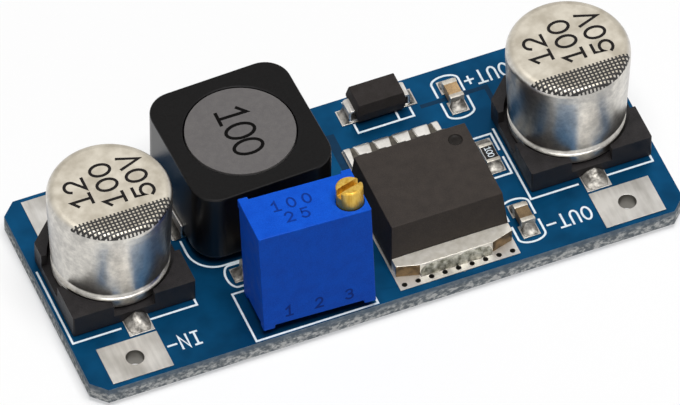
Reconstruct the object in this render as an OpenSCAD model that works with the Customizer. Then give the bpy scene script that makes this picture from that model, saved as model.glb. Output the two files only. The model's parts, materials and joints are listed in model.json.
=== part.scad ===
// Step-up converter module: a small board with a power regulator, a shielded inductor,
// two can capacitors, a many-turn trimmer and four wire terminals.
// Frame: X runs along the board from input to output, Y from the trimmer edge to the
// inductor edge, Z up. The origin is under the middle of the board, level with the
// lowest solder tip. All sizes are millimetres.

/* [Board] */
// Length of the board along X
board_l = 51.3; // [46.1:0.1:60]
// Width of the board along Y
board_w = 21; // [18.9:0.1:26]
// Thickness of the glass-fibre laminate
board_t = 1.6; // [1:0.1:2.4]
// Leg of the cut at each board corner
board_chamfer = 1.2; // [0.4:0.1:2]

/* [Lands and solder] */
// Thickness of the tinned copper lands
land_t = 0.08; // [0.04:0.01:0.15]
// Thickness of the copper lining in each plated hole
plating_t = 0.08; // [0.04:0.01:0.15]
// Height of the trimmer's solder tips below the board
tail_h = 0.5; // [0.3:0.05:1]
// Fit between pieces that are slipped together
slip_fit = 0.03; // [0.01:0.01:0.06]
// Gap between a capacitor's land and the wire terminal in front of it
land_gap = 0.2; // [0.1:0.05:0.8]
// Margin of a land round the piece that is soldered to it
land_margin = 0.1; // [0:0.05:0.2]
// Height of the solder mound on a capacitor lead
mound_h = 0.55; // [0.4:0.05:0.8]
// Length of the solder mound past the capacitor's base
mound_l = 1.45; // [0.8:0.05:1.5]
// Size of the solder fillets at the ceramic chips
chip_fillet = 0.45; // [0.2:0.05:0.7]
// Size of the solder fillets at the resistor
resistor_fillet = 0.35; // [0.2:0.05:0.5]
// Size of the solder fillets at the diode leads
diode_fillet = 0.5; // [0.2:0.05:0.6]
// Size of the solder fillets at the inductor clips
clip_fillet = 0.55; // [0.2:0.05:0.8]
// Size of the solder fillet along the regulator's tab
tab_fillet = 0.24; // [0.15:0.01:0.4]
// Size of the solder fillets at the regulator leads
lead_fillet = 0.2; // [0.1:0.05:0.25]

/* [Terminals] */
// Length of a wire terminal land along X
terminal_l = 5.2; // [3.4:0.1:6]
// Width of a wire terminal land along Y
terminal_w = 3.8; // [2.6:0.1:4]
// Diameter of the plated hole for a wire
terminal_hole_d = 1.5; // [0.8:0.1:2]
// Distance from a board end to the terminal holes
terminal_end = 4.35; // [3.5:0.05:5]
// Distance from a long edge to the terminal holes
terminal_side = 2.3; // [2.1:0.05:2.8]

/* [Can capacitors] */
// Outer diameter of a can
can_d = 10.1; // [8:0.1:10.2]
// How much smaller the can's radius is below its groove than at its top
can_taper = 0.25; // [0:0.05:0.4]
// Height of a capacitor above its lands
cap_h = 10.2; // [7:0.1:14]
// Rounding of the can's top edge
can_round = 0.7; // [0.2:0.1:1.2]
// Rounding of the rolled lower edge
can_curl = 0.45; // [0.2:0.05:0.6]
// Height of the rolled groove above the can's lower edge
groove_z = 1.5; // [1.3:0.05:3]
// Depth of the rolled groove
groove_depth = 0.4; // [0.1:0.05:0.6]
// Radius of the rolled groove
groove_r = 0.42; // [0.3:0.02:0.6]
// Side of the square moulded base
cap_base = 10.5; // [10.1:0.1:10.8]
// Thickness of the base under the can
cap_floor = 0.9; // [0.8:0.1:1.8]
// Height of the four corner posts of the base
cap_post_h = 2.2; // [1.9:0.05:3.5]
// Gap between a can and the corner posts
can_room = 0.3; // [0.05:0.05:0.4]
// Width of the gap between two corner posts
cap_notch_w = 3.5; // [2.5:0.1:5]
// Leg of the cut at the two positive corners of the base
cap_chamfer = 2; // [0.5:0.1:2.4]
// Leg of the cut at the two negative corners of the base
cap_front_cut = 0.1; // [0.1:0.05:0.6]
// Width of a capacitor lead
cap_lead_w = 1.2; // [0.8:0.1:1.8]
// Thickness of a capacitor lead
cap_lead_t = 0.2; // [0.1:0.05:0.4]
// How far a lead reaches past the base
cap_lead_reach = 0.7; // [0.4:0.05:0.9]
// Distance between the two lead posts under the can
cap_post_pitch = 4.6; // [3:0.1:6]
// Diameter of a lead post
cap_post_d = 0.7; // [0.5:0.05:0.9]
// Shift of both capacitors from the middle line
cap_y = 0.85; // [0.6:0.05:1]
// Width of a capacitor land
cap_land_w = 2.15; // [1.8:0.05:3]

/* [Inductor] */
// Side of the square shield
inductor_w = 12.1; // [11.5:0.1:12.4]
// Height of the inductor above its lands
inductor_h = 7.95; // [5:0.05:10]
// Corner radius of the shield
shield_r = 2.2; // [1:0.1:3]
// Diameter of the core's end discs
core_d = 9; // [8:0.05:10]
// Gap between the core's discs and the shield
core_gap = 0.1; // [0.05:0.01:0.3]
// Thickness of a core disc
core_disc_t = 1.2; // [0.8:0.1:1.8]
// Diameter of the core's post
core_post_d = 4.6; // [3:0.1:6]
// Gap between the winding and the shield
winding_gap = 0.5; // [0.2:0.05:1]
// Thickness of the inductor's base plate
inductor_base_t = 0.6; // [0.4:0.05:1]
// Inset of the base plate from the shield's sides
inductor_base_inset = 0.4; // [0.2:0.05:0.8]
// Thickness of a terminal clip
clip_t = 0.2; // [0.15:0.05:0.3]
// Width of a terminal clip
clip_w = 4.6; // [3:0.1:6]
// Height of a terminal clip on the shield's side
clip_h = 1.55; // [1.2:0.05:2.5]
// Length of a clip's foot under the base plate
clip_foot = 2; // [1.2:0.1:3]
// Angle by which the soldered inductor is turned on the board
inductor_turn = 1.8; // [-3:0.1:3]

/* [Trimmer] */
// Width of the trimmer housing
trimmer_w = 9.53; // [8:0.01:10]
// Depth of the trimmer housing
trimmer_d = 4.83; // [4.4:0.01:5]
// Height of the trimmer housing on its feet
trimmer_h = 10.1; // [7:0.1:12]
// Height of the housing's feet
trimmer_foot_h = 0.35; // [0.3:0.05:0.8]
// Width of a foot along the housing's width
trimmer_foot_w = 1; // [0.6:0.1:1.4]
// Depth of a foot
trimmer_foot_d = 0.8; // [0.5:0.1:1.2]
// Side of the small square bosses behind the top of the housing
trimmer_boss = 0.85; // [0.5:0.05:1.2]
// How far the bosses stand out
trimmer_boss_t = 0.3; // [0.1:0.05:0.5]
// Angle by which the soldered trimmer leans back
trimmer_lean = 7; // [0:0.5:9]
// Angle by which the soldered trimmer is turned on the board
trimmer_turn = -2.5; // [-4:0.5:4]
// Shift of the trimmer from the inductor's middle along X
trimmer_shift = 1.2; // [0.6:0.1:1.8]
// Diameter of a trimmer pin
pin_d = 0.5; // [0.4:0.05:0.6]
// Distance between neighbouring pins
pin_pitch = 2.54; // [2:0.01:3]
// Diameter of the plated holes for the pins
pin_hole_d = 0.95; // [0.9:0.05:1.2]
// Width of the ring land round a pin hole
pin_ring = 0.45; // [0.3:0.05:0.6]
// Wall of the housing round the potting
potting_wall = 0.6; // [0.4:0.05:1]
// Thickness of the potting that closes the housing
potting_t = 1.2; // [0.8:0.1:2]

/* [Adjusting screw] */
// Diameter of the screw head
screw_d = 2.2; // [1.8:0.05:2.3]
// Height of the head above the housing
screw_rise = 1.75; // [0.8:0.05:2.5]
// Depth of the head's seat inside the housing
screw_seat = 1.2; // [0.6:0.1:2]
// Diameter of the shank that drives the wiper
shank_d = 1.6; // [1.2:0.05:1.7]
// Radial running clearance of the screw
screw_clear = 0.05; // [0.02:0.01:0.1]
// Width of the driver slot
slot_w = 0.55; // [0.3:0.05:0.8]
// Depth of the driver slot
slot_depth = 0.75; // [0.3:0.05:1.2]
// Angle of the slot from the housing's width
slot_angle = 19; // [-90:1:90]
// Bevel of the head's top edge
screw_bevel = 0.15; // [0.05:0.05:0.3]
// Distance from the housing's right side to the screw axis
screw_side = 1.27; // [1.25:0.01:2]
// Distance from the housing's front to the screw axis
screw_front = 1.55; // [1.4:0.05:2.4]

/* [Regulator] */
// Width of the moulded body at the parting level
reg_w = 10.1; // [9:0.1:11.4]
// Length of the moulded body at the parting level
reg_l = 8.8; // [8:0.1:9.4]
// Height of the regulator above its land
reg_h = 4.4; // [3.6:0.1:5]
// Inset of each side of the top face
reg_side_draft = 0.25; // [0.05:0.05:0.5]
// Inset of the front of the top face
reg_front_draft = 0.6; // [0.1:0.05:0.9]
// Inset of the back of the top face
reg_back_draft = 0.25; // [0.05:0.05:0.5]
// Lift of the moulding above the lands
reg_lift = 0.1; // [0.05:0.05:0.2]
// Diameter of the round moulding mark on top
mark_d = 1.15; // [0.6:0.05:1.6]
// Depth of the moulding mark
mark_depth = 0.15; // [0.05:0.05:0.3]
// Distance from two sides of the top face to the middle of the mark
mark_edge = 1.35; // [1:0.05:2]
// Thickness of the copper tab
tab_t = 1.27; // [1:0.01:1.6]
// Length of the tab in front of the body
tab_reach = 1.4; // [1:0.05:1.6]
// Length of the slanted part at each end of the tab's front edge
tab_slant_l = 1.9; // [1:0.1:2.6]
// How far the tab's front corners stand back
tab_slant = 0.54; // [0.1:0.02:0.7]
// Width of the tab inside the body
tab_inner_w = 8.2; // [6:0.1:8.6]
// Length of the tab inside the body
tab_inner_l = 6.4; // [4:0.1:7]
// Distance between neighbouring leads
lead_pitch = 1.7; // [1.68:0.01:1.8]
// Width of a lead's foot
lead_w = 0.75; // [0.5:0.05:0.95]
// Width of a lead's shoulder next to the body
lead_shoulder_w = 1.15; // [1:0.05:1.4]
// Thickness of a lead
lead_t = 0.45; // [0.3:0.05:0.6]
// Height of the shoulder's underside above the land
lead_z = 2.1; // [1.9:0.1:2.4]
// Length of a lead inside the body
lead_grip = 1.2; // [0.8:0.1:2]
// Straight run of the shoulder past the body
lead_run = 0.85; // [0.5:0.05:1.2]
// Inner bend radius of a lead
lead_bend = 0.3; // [0.15:0.05:0.5]
// Length of a lead's flat foot
lead_foot = 1.85; // [1:0.05:2.2]
// Width of a lead's land
lead_land_w = 1.48; // [1.2:0.02:1.56]
// How far a lead's land reaches past the foot
lead_land_out = 0.25; // [0.1:0.05:0.5]
// Width of the land under the tab
reg_land_w = 10.4; // [10:0.1:11]
// Length of the land under the tab
reg_land_l = 9.4; // [8:0.1:9.8]
// Distance from the land's front edge to the tab
tab_land_out = 0.93; // [0.9:0.01:1.2]
// Number of plated holes in front of the tab
via_count = 9; // [3:1:11]
// Diameter of a plated hole
via_d = 0.45; // [0.3:0.05:0.5]
// Distance from the land's front edge to the row of holes
via_edge = 0.46; // [0.4:0.01:0.55]
// Distance from the land's ends to the outer holes
via_end = 0.52; // [0.45:0.01:0.9]
// Width of the copper ring round a hole on the underside
via_ring = 0.1; // [0.05:0.01:0.15]

/* [Diode] */
// Length of the diode's body
diode_l = 4.3; // [3.6:0.1:4.6]
// Width of the diode's body
diode_w = 2.6; // [2:0.1:2.9]
// Height of the diode above its lands
diode_h = 2.25; // [1.6:0.05:2.8]
// Inset of the top and bottom faces
diode_draft = 0.18; // [0.05:0.01:0.3]
// Width of a diode lead
diode_lead_w = 1.45; // [1:0.05:1.8]
// Thickness of a diode lead
diode_lead_t = 0.2; // [0.12:0.02:0.3]
// Run of a diode lead past the body
diode_lead_run = 0.2; // [0.1:0.02:0.3]
// Length of a diode lead inside the body
diode_grip = 0.6; // [0.3:0.05:1]
// Inner bend radius of a diode lead
diode_bend = 0.12; // [0.05:0.01:0.16]
// Length of a diode lead's foot under the body
diode_foot = 0.9; // [0.6:0.05:1.3]
// Length of a diode land
diode_land_l = 1.75; // [1.5:0.05:2]
// Width of a diode land
diode_land_w = 1.65; // [1.5:0.05:2]
// How far a diode land reaches past the lead
diode_land_out = 0.6; // [0.4:0.05:0.8]
// Shift of the diode from the regulator's middle along X
diode_shift = 0.25; // [-1:0.05:1]

/* [Chip parts] */
// Length of a chip part
chip_l = 1.95; // [1.6:0.05:2.2]
// Width of a chip part
chip_w = 1.2; // [0.8:0.05:1.4]
// Height of a ceramic chip capacitor
ceramic_h = 1.05; // [0.6:0.05:1.3]
// Height of the chip resistor
resistor_h = 0.55; // [0.4:0.05:0.8]
// Thickness of the resistor's glaze
glaze_t = 0.05; // [0.02:0.01:0.1]
// Length of the resistor's metal ends
resistor_end = 0.32; // [0.25:0.01:0.6]
// Length of a ceramic chip's metal ends
chip_end = 0.42; // [0.25:0.01:0.6]
// Thickness of the metal on a chip's ends
chip_end_t = 0.04; // [0.02:0.01:0.08]
// Overall length of a chip's two lands
chip_lands_l = 3.65; // [3.2:0.05:3.9]
// Length of one chip land
chip_land_l = 1.35; // [1.1:0.05:1.5]
// Width of a chip land
chip_land_w = 1.5; // [1.3:0.05:1.7]
// Distance from the back edge to the rear chip's middle
rear_chip_edge = 3.2; // [3:0.05:3.8]
// Shift of the rear chip towards the output end
rear_chip_shift = -0.3; // [-0.4:0.05:0.4]
// Distance from the front edge to the front chip's middle
front_chip_edge = 3.7; // [3.2:0.05:4.4]
// Place of the resistor's middle along Y
resistor_y = 0.35; // [0:0.05:0.8]
// Shift of the chip behind the trimmer from the inductor's middle
middle_chip_shift = -2; // [-3:0.1:2]

/* [Spacing along the board] */
// The gaps of this section stretch together when the parts leave more or less of the length.
// Gap between a board end and a capacitor base
cap_end_gap = 0.6; // [0.3:0.05:2]
// Gap between the input capacitor's base and the shield
inductor_cap_gap = 1.3; // [1.1:0.1:3]
// Gap between the inductor's shield and the regulator
reg_gap = 2.2; // [1:0.1:4]
// Gap between the regulator and the chips beside it
chip_gap = 1.1; // [0.8:0.05:3]
// Gap between these chips and the output capacitor's base
chip_cap_gap = 1.1; // [0.8:0.1:3]

/* [Spacing across the board] */
// The gaps of each column stretch together when its parts leave more or less of the width.
// Gap between the board's back edge and the shield
inductor_edge_gap = 0.2; // [0.05:0.05:1]
// Gap between the shield and the chip in front of it
shield_chip_gap = 1; // [0.6:0.1:3]
// Gap between this chip and the back feet of the trimmer
chip_trimmer_gap = 1.45; // [1:0.05:3]
// Distance from the board's front edge to the foot of the trimmer
trimmer_edge = 0.22; // [0.05:0.01:1]
// Distance from the board's back edge to the diode's middle line
diode_edge = 1.95; // [1.6:0.05:3]
// Gap between the diode and the lands of the regulator's leads
diode_lead_gap = 2; // [1:0.1:4]
// Distance from the board's front edge to the land under the tab
reg_land_edge = 0.62; // [0.2:0.02:2]

/* [Hidden] */
$fn = 48;

// How far a cutting tool runs past a face
over = 1;
// Thickness of the two ends of a hull
skin = 0.01;

// Heights of the board's underside, its top and the top of the lands
board_z = tail_h;
top_z = board_z + board_t;
seat_z = top_z + land_t;

// Edges of the board
end_x = board_l / 2;
edge_y = board_w / 2;

// Regulator leads: end of the foot behind the body
lead_foot_y = reg_l + lead_run + lead_t + 2 * lead_bend;
lead_tip_y = lead_foot_y + lead_foot;
lead_land_l = lead_foot + lead_bend + lead_land_out;

// Room that solder and lands take up beside the parts of the row
clip_side = clip_t + clip_fillet + land_margin;
reg_side = max(0, (reg_land_w - reg_w) / 2);
chip_side = max(0, (chip_land_w - chip_w) / 2);

// How much the free part of each gap stretches so that a row of parts fills the board
row_parts = 2 * cap_base + inductor_w + reg_w + chip_w;
row_taken = clip_side + 2 * reg_side + 2 * chip_side;
row_gaps = 2 * cap_end_gap + inductor_cap_gap + reg_gap + chip_gap + chip_cap_gap;
row_share = (board_l - row_parts - row_taken) / (row_gaps - row_taken);

// The same for the column of the inductor and that of the regulator
coil_parts = inductor_w + chip_w + trimmer_d;
coil_gaps = inductor_edge_gap + shield_chip_gap + chip_trimmer_gap + trimmer_edge;
coil_share = (board_w - coil_parts) / coil_gaps;
diode_gap = diode_edge - diode_w / 2;
reg_parts = tab_land_out + tab_reach + lead_tip_y + lead_land_out + diode_w;
reg_share = (board_w - reg_parts) / (reg_land_edge + diode_lead_gap + diode_gap);

// Middle points along X, from the input end to the output end
in_cap_x = -end_x + row_share * cap_end_gap + cap_base / 2;
out_cap_x = -in_cap_x;
inductor_left = in_cap_x + cap_base / 2 + spread(inductor_cap_gap, clip_side);
inductor_x = inductor_left + inductor_w / 2;
trimmer_x = inductor_x + trimmer_shift;
reg_x = inductor_left + inductor_w + spread(reg_gap, reg_side) + reg_w / 2;
diode_x = reg_x + diode_shift;
chip_x = reg_x + reg_w / 2 + spread(chip_gap, reg_side + chip_side) + chip_w / 2;
rear_chip_x = chip_x + rear_chip_shift;
middle_chip_x = inductor_x + middle_chip_shift;

// Width of a gap of the row, of which a part is taken up
function spread(gap, taken) = taken + row_share * (gap - taken);

// Places along Y
inductor_y = edge_y - coil_share * inductor_edge_gap - inductor_w / 2;
middle_chip_y = inductor_y - inductor_w / 2 - coil_share * shield_chip_gap - chip_w / 2;
trimmer_y = -edge_y + coil_share * trimmer_edge + trimmer_d;
reg_land_y = -edge_y + reg_share * reg_land_edge;
tab_y = reg_land_y + tab_land_out;
reg_y = tab_y + tab_reach;
diode_y = edge_y - reg_share * diode_gap - diode_w / 2;
rear_chip_y = edge_y - rear_chip_edge;
front_chip_y = -edge_y + front_chip_edge;
terminal_x = end_x - terminal_end;
terminal_y = edge_y - terminal_side;
terminal_inner_y = terminal_y - terminal_w / 2;

// Can and base
can_r = can_d / 2;
can_low_r = can_r - can_taper;
can_l = cap_h - cap_floor;
cap_half = cap_base / 2;
cap_land_in = cap_half - cap_post_pitch / 2 + cap_post_d / 2;
cap_land_out = terminal_inner_y - land_gap - cap_half + cap_y;

// Inductor levels above the lands
inductor_base_z = clip_t;
shield_z = clip_t + inductor_base_t;
shield_h = inductor_h - shield_z;

// Trimmer: its own frame has Z along the screw, Y = 0 at the back and Z = 0 under the feet
screw_x = trimmer_w / 2 - screw_side;
screw_y = -trimmer_d + screw_front;
shank_z = trimmer_foot_h + potting_t + over;
pin_y = -trimmer_d / 2;
pin_mid_z = (sin(trimmer_lean) * pin_y - board_t / 2) / cos(trimmer_lean);
pin_hole_y = cos(trimmer_lean) * pin_y + sin(trimmer_lean) * pin_mid_z;
pin_top_z = trimmer_foot_h + potting_t / 2;
pin_l = pin_top_z + (top_z - sin(trimmer_lean) * pin_y) / cos(trimmer_lean) + over;

// Diode lead: outer face beyond the body
diode_mid_z = diode_h / 2;
diode_outer = diode_l / 2 + diode_lead_run + diode_bend + diode_lead_t;

// Rows of repeated places
lead_steps = [-2:2];
pin_steps = [-1:1];
signs = [-1, 1];

// Profiles

module rounded_square(side, r) {
    square([side, side - 2 * r], center = true);
    square([side - 2 * r, side], center = true);
    for (x = signs, y = signs)
        translate([x * (side / 2 - r), y * (side / 2 - r)]) circle(r);
}

module quarter_ring(r, t) {
    intersection() {
        difference() {
            circle(r + t);
            circle(r);
        }
        square(r + t);
    }
}

// Section of a concave solder fillet that lies along +X and stands along +Y
module fillet_section(r) {
    difference() {
        square(r);
        translate([r, r]) circle(r);
    }
}

module cut_square(side, front_cut, back_cut) {
    h = side / 2;
    polygon([
        [-h + front_cut, -h], [h - front_cut, -h], [h, -h + front_cut], [h, h - back_cut],
        [h - back_cut, h], [-h + back_cut, h], [-h, h - back_cut], [-h, -h + front_cut]
    ]);
}

// Stands a YZ section up across X, centred, with the section's X along Y and its Y along Z
module across_x(w) {
    translate([-w / 2, 0, 0]) rotate([90, 0, 90]) linear_extrude(w) children();
}

// A straight concave fillet, w wide across X, that runs out along +Y from a wall at Y = 0
module fillet_bar(w, r) {
    across_x(w) fillet_section(r);
}

// A block with a smaller top, given by its footprint and the inset of each side
module drafted_block(w, l, h, side, front, back) {
    hull() {
        translate([-w / 2, 0, 0]) cube([w, l, skin]);
        translate([-w / 2 + side, front, h - skin]) cube([w - 2 * side, l - front - back, skin]);
    }
}

// Places

module at_terminals() {
    for (x = signs, y = signs) translate([x * terminal_x, y * terminal_y, 0]) children();
}

module at_vias() {
    first = -reg_land_w / 2 + via_end;
    step = (reg_land_w - 2 * via_end) / (via_count - 1);
    for (i = [0:via_count - 1])
        translate([reg_x + first + i * step, reg_land_y + via_edge, 0]) children();
}

module at_pin_holes() {
    translate([trimmer_x, trimmer_y, 0])
        rotate(trimmer_turn)
            for (i = pin_steps) translate([i * pin_pitch, pin_hole_y, 0]) children();
}

module at_trimmer() {
    translate([trimmer_x, trimmer_y, top_z])
        rotate(trimmer_turn)
            rotate([-trimmer_lean, 0, 0]) children();
}

module at_regulator() {
    translate([reg_x, reg_y, seat_z]) children();
}

module at_leads() {
    at_regulator() for (i = lead_steps) translate([i * lead_pitch, 0, 0]) children();
}

module at_inductor() {
    translate([inductor_x, inductor_y, seat_z]) rotate(inductor_turn) children();
}

module at_diode() {
    translate([diode_x, diode_y, seat_z]) children();
}

module at_chip(x, y) {
    translate([x, y, seat_z]) children();
}

module at_middle_chip() {
    translate([middle_chip_x, middle_chip_y, seat_z]) rotate(90) children();
}

module at_capacitor(x) {
    translate([x, cap_y, seat_z]) children();
}

// A piece and its twin turned half round
module both_ways() {
    children();
    rotate(180) children();
}

// Board, lands and plated holes

module drill(d) {
    translate([0, 0, board_z - over]) cylinder(d = d, h = board_t + 2 * over);
}

module barrel(d) {
    translate([0, 0, board_z]) cylinder(d = d + 2 * plating_t, h = board_t);
}

// A flat land on the top of the board, centred on x and y
module land(x, y, l, w) {
    translate([x - l / 2, y - w / 2, top_z]) cube([l, w, land_t]);
}

module circuit_board() {
    color("mediumblue") difference() {
        translate([0, 0, board_z]) linear_extrude(board_t) difference() {
            square([board_l, board_w], center = true);
            for (x = signs, y = signs)
                translate([x * end_x, y * edge_y]) rotate(45)
                    square(board_chamfer * sqrt(2), center = true);
        }
        at_terminals() drill(terminal_hole_d + 2 * plating_t);
        at_vias() drill(via_d + 2 * plating_t);
        at_pin_holes() drill(pin_hole_d + 2 * plating_t);
    }
}

module terminal_lands() {
    color("gainsboro") at_terminals() difference() {
        union() {
            land(0, 0, terminal_l, terminal_w);
            translate([0, 0, -board_t - land_t]) land(0, 0, terminal_l, terminal_w);
            barrel(terminal_hole_d);
        }
        drill(terminal_hole_d);
    }
}

// Land length and middle of one capacitor's front and back lands
module capacitor_lands(x) {
    front_y = cap_y - cap_half - cap_land_out;
    front_l = cap_land_out + cap_land_in;
    back_y = cap_y + cap_half - cap_land_in;
    back_l = terminal_inner_y - back_y;
    land(x, front_y + front_l / 2, cap_land_w, front_l);
    land(x, back_y + back_l / 2, cap_land_w, back_l);
}

module inductor_lands() {
    land_l = clip_foot + clip_t + clip_fillet + 2 * land_margin;
    middle = inductor_w / 2 + clip_t + clip_fillet + land_margin - land_l / 2;
    for (s = signs) land(inductor_x + s * middle, inductor_y, land_l, clip_w + 2 * land_margin);
}

module lead_lands() {
    back_y = reg_y + lead_tip_y + lead_land_out;
    for (i = lead_steps)
        land(reg_x + i * lead_pitch, back_y - lead_land_l / 2, lead_land_w, lead_land_l);
}

module diode_lands() {
    middle = diode_outer + diode_land_out - diode_land_l / 2;
    for (s = signs) land(diode_x + s * middle, diode_y, diode_land_l, diode_land_w);
}

module chip_lands(x, y, along_x) {
    step = (chip_lands_l - chip_land_l) / 2;
    for (s = signs)
        if (along_x) land(x + s * step, y, chip_land_l, chip_land_w);
        else land(x, y + s * step, chip_land_w, chip_land_l);
}

module component_lands() {
    color("gainsboro") {
        capacitor_lands(in_cap_x);
        capacitor_lands(out_cap_x);
        inductor_lands();
        lead_lands();
        diode_lands();
        chip_lands(rear_chip_x, rear_chip_y, false);
        chip_lands(chip_x, resistor_y, false);
        chip_lands(chip_x, front_chip_y, false);
        chip_lands(middle_chip_x, middle_chip_y, true);
    }
}

module regulator_land() {
    ring_d = via_d + 2 * plating_t + 2 * via_ring;
    color("gainsboro") difference() {
        union() {
            land(reg_x, reg_land_y + reg_land_l / 2, reg_land_w, reg_land_l);
            at_vias() barrel(via_d);
            at_vias() translate([0, 0, board_z - land_t]) cylinder(d = ring_d, h = land_t);
        }
        at_vias() drill(via_d);
    }
}

module trimmer_lands() {
    ring_d = pin_hole_d + 2 * pin_ring;
    color("gainsboro") at_pin_holes() difference() {
        union() {
            translate([0, 0, top_z]) cylinder(d = ring_d, h = land_t);
            translate([0, 0, board_z - land_t]) cylinder(d = ring_d, h = land_t);
            barrel(pin_hole_d);
        }
        drill(pin_hole_d);
    }
}

// Can capacitors

module can_section() {
    shoulder = can_l - can_round;
    difference() {
        union() {
            polygon([
                [0, 0], [can_low_r - can_curl, 0], [can_low_r, can_curl], [can_low_r, groove_z],
                [can_r, shoulder - can_round], [can_r, shoulder], [can_r - can_round, can_l], [0, can_l]
            ]);
            translate([can_low_r - can_curl, can_curl]) circle(can_curl);
            translate([can_r - can_round, shoulder]) circle(can_round);
        }
        translate([can_low_r - groove_depth + groove_r, groove_z]) circle(groove_r);
    }
}

module can(x) {
    color("lightgray") at_capacitor(x) translate([0, 0, cap_floor]) rotate_extrude() can_section();
}

// Strip along the board with a post up to the can
module lead_strip() {
    tip = cap_half + cap_lead_reach;
    inner = cap_post_pitch / 2 - cap_post_d / 2;
    translate([-cap_lead_w / 2, -tip, 0]) cube([cap_lead_w, tip - inner, cap_lead_t]);
}

module lead_post(d) {
    translate([0, -cap_post_pitch / 2, 0]) cylinder(d = d, h = cap_floor);
}

module capacitor_leads(x) {
    color("silver") at_capacitor(x) both_ways() {
        lead_strip();
        lead_post(cap_post_d);
    }
}

module capacitor_base(x) {
    color("dimgray") at_capacitor(x) difference() {
        linear_extrude(cap_post_h) cut_square(cap_base, cap_front_cut, cap_chamfer);
        translate([0, 0, cap_floor]) cylinder(r = can_low_r + can_room, h = cap_post_h);
        for (turn = [0, 90]) rotate(turn)
            translate([-cap_notch_w / 2, -cap_base, cap_floor])
                cube([cap_notch_w, 2 * cap_base, cap_post_h]);
        both_ways() {
            strip_room();
            lead_post(cap_post_d + 2 * slip_fit);
        }
    }
}

// Room for a lead strip under the base, open at the base's edge
module strip_room() {
    w = cap_lead_w + 2 * slip_fit;
    inner = cap_post_pitch / 2 - cap_post_d / 2 - slip_fit;
    l = cap_half + over - inner;
    translate([-w / 2, -cap_half - over, -over]) cube([w, l, over + cap_lead_t]);
}

module input_capacitor_can() {
    can(in_cap_x);
}

module input_capacitor_base() {
    capacitor_base(in_cap_x);
}

module input_capacitor_leads() {
    capacitor_leads(in_cap_x);
}

module output_capacitor_can() {
    can(out_cap_x);
}

module output_capacitor_base() {
    capacitor_base(out_cap_x);
}

module output_capacitor_leads() {
    capacitor_leads(out_cap_x);
}

// Inductor

module inductor_shield() {
    color("black") at_inductor() translate([0, 0, shield_z]) linear_extrude(shield_h) difference() {
        rounded_square(inductor_w, shield_r);
        circle(core_d / 2 + core_gap);
    }
}

module inductor_core() {
    color("gray") at_inductor() translate([0, 0, shield_z]) {
        cylinder(d = core_d, h = core_disc_t);
        cylinder(d = core_post_d, h = shield_h);
        translate([0, 0, shield_h - core_disc_t]) cylinder(d = core_d, h = core_disc_t);
    }
}

module inductor_winding() {
    room = shield_h - 2 * core_disc_t;
    outer = core_d / 2 + core_gap - winding_gap;
    color("peru") at_inductor() translate([0, 0, shield_z + core_disc_t])
        linear_extrude(room) difference() {
            circle(outer);
            circle(core_post_d / 2);
        }
}

module inductor_base() {
    side = inductor_w - 2 * inductor_base_inset;
    color("black") at_inductor() translate([0, 0, inductor_base_z])
        linear_extrude(inductor_base_t) rounded_square(side, shield_r - inductor_base_inset);
}

// Strip that runs under the base plate, bends up and lies on the shield's side
module clip_section() {
    translate([clip_t, 0]) square([clip_foot - clip_t, clip_t]);
    translate([clip_t, 2 * clip_t]) rotate(180) quarter_ring(clip_t, clip_t);
    translate([-clip_t, 2 * clip_t]) square([clip_t, clip_h - 2 * clip_t]);
}

module inductor_clips() {
    color("silver") at_inductor() for (turn = [90, -90]) rotate(turn)
        translate([0, -inductor_w / 2, 0]) across_x(clip_w) clip_section();
}

// Trimmer, in its own leaning frame

module trimmer_box(w, d, z, h) {
    translate([-w / 2, -trimmer_d / 2 - d / 2, z]) cube([w, d, h]);
}

module potting_block() {
    w = trimmer_w - 2 * potting_wall;
    d = trimmer_d - 2 * potting_wall;
    trimmer_box(w, d, trimmer_foot_h, potting_t);
}

module trimmer_feet() {
    for (s = signs, back = [0, 1])
        translate([
            s * (trimmer_w - trimmer_foot_w) / 2 - trimmer_foot_w / 2,
            back ? -trimmer_foot_d : -trimmer_d,
            0
        ]) cube([trimmer_foot_w, trimmer_foot_d, trimmer_foot_h]);
}

module trimmer_bosses() {
    high = trimmer_h - trimmer_boss;
    root = trimmer_boss_t;
    for (s = signs)
        translate([s * (trimmer_w - trimmer_boss) / 2 - trimmer_boss / 2, -root, high])
            cube([trimmer_boss, trimmer_boss_t + root, trimmer_boss]);
}

module trimmer_housing() {
    color("blue") at_trimmer() difference() {
        union() {
            trimmer_box(trimmer_w, trimmer_d, trimmer_foot_h, trimmer_h - trimmer_foot_h);
            trimmer_feet();
            trimmer_bosses();
        }
        potting_block();
        screw_blank(2 * screw_clear, over);
    }
}

module trimmer_potting() {
    color("darkslateblue") at_trimmer() difference() {
        potting_block();
        pin_row();
    }
}

// Head and shank of the adjusting screw, grown by a clearance on the diameter
module screw_blank(grow, above) {
    head_z = trimmer_h - screw_seat - grow / 2;
    top = trimmer_h + screw_rise + above;
    translate([screw_x, screw_y, 0]) {
        translate([0, 0, head_z]) cylinder(d = screw_d + grow, h = top - head_z);
        translate([0, 0, shank_z - grow / 2])
            cylinder(d = shank_d + grow, h = head_z - shank_z + grow / 2);
    }
}

module trimmer_screw() {
    top = trimmer_h + screw_rise;
    tip_d = screw_d - 2 * screw_bevel;
    color("goldenrod") at_trimmer() difference() {
        union() {
            screw_blank(0, -screw_bevel);
            translate([screw_x, screw_y, top - screw_bevel])
                cylinder(d1 = screw_d, d2 = tip_d, h = screw_bevel);
        }
        translate([screw_x, screw_y, top]) rotate(slot_angle)
            cube([2 * screw_d, slot_w, 2 * slot_depth], center = true);
    }
}

module pin_row() {
    for (i = pin_steps)
        translate([i * pin_pitch, pin_y, pin_top_z - pin_l]) cylinder(d = pin_d, h = pin_l);
}

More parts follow.
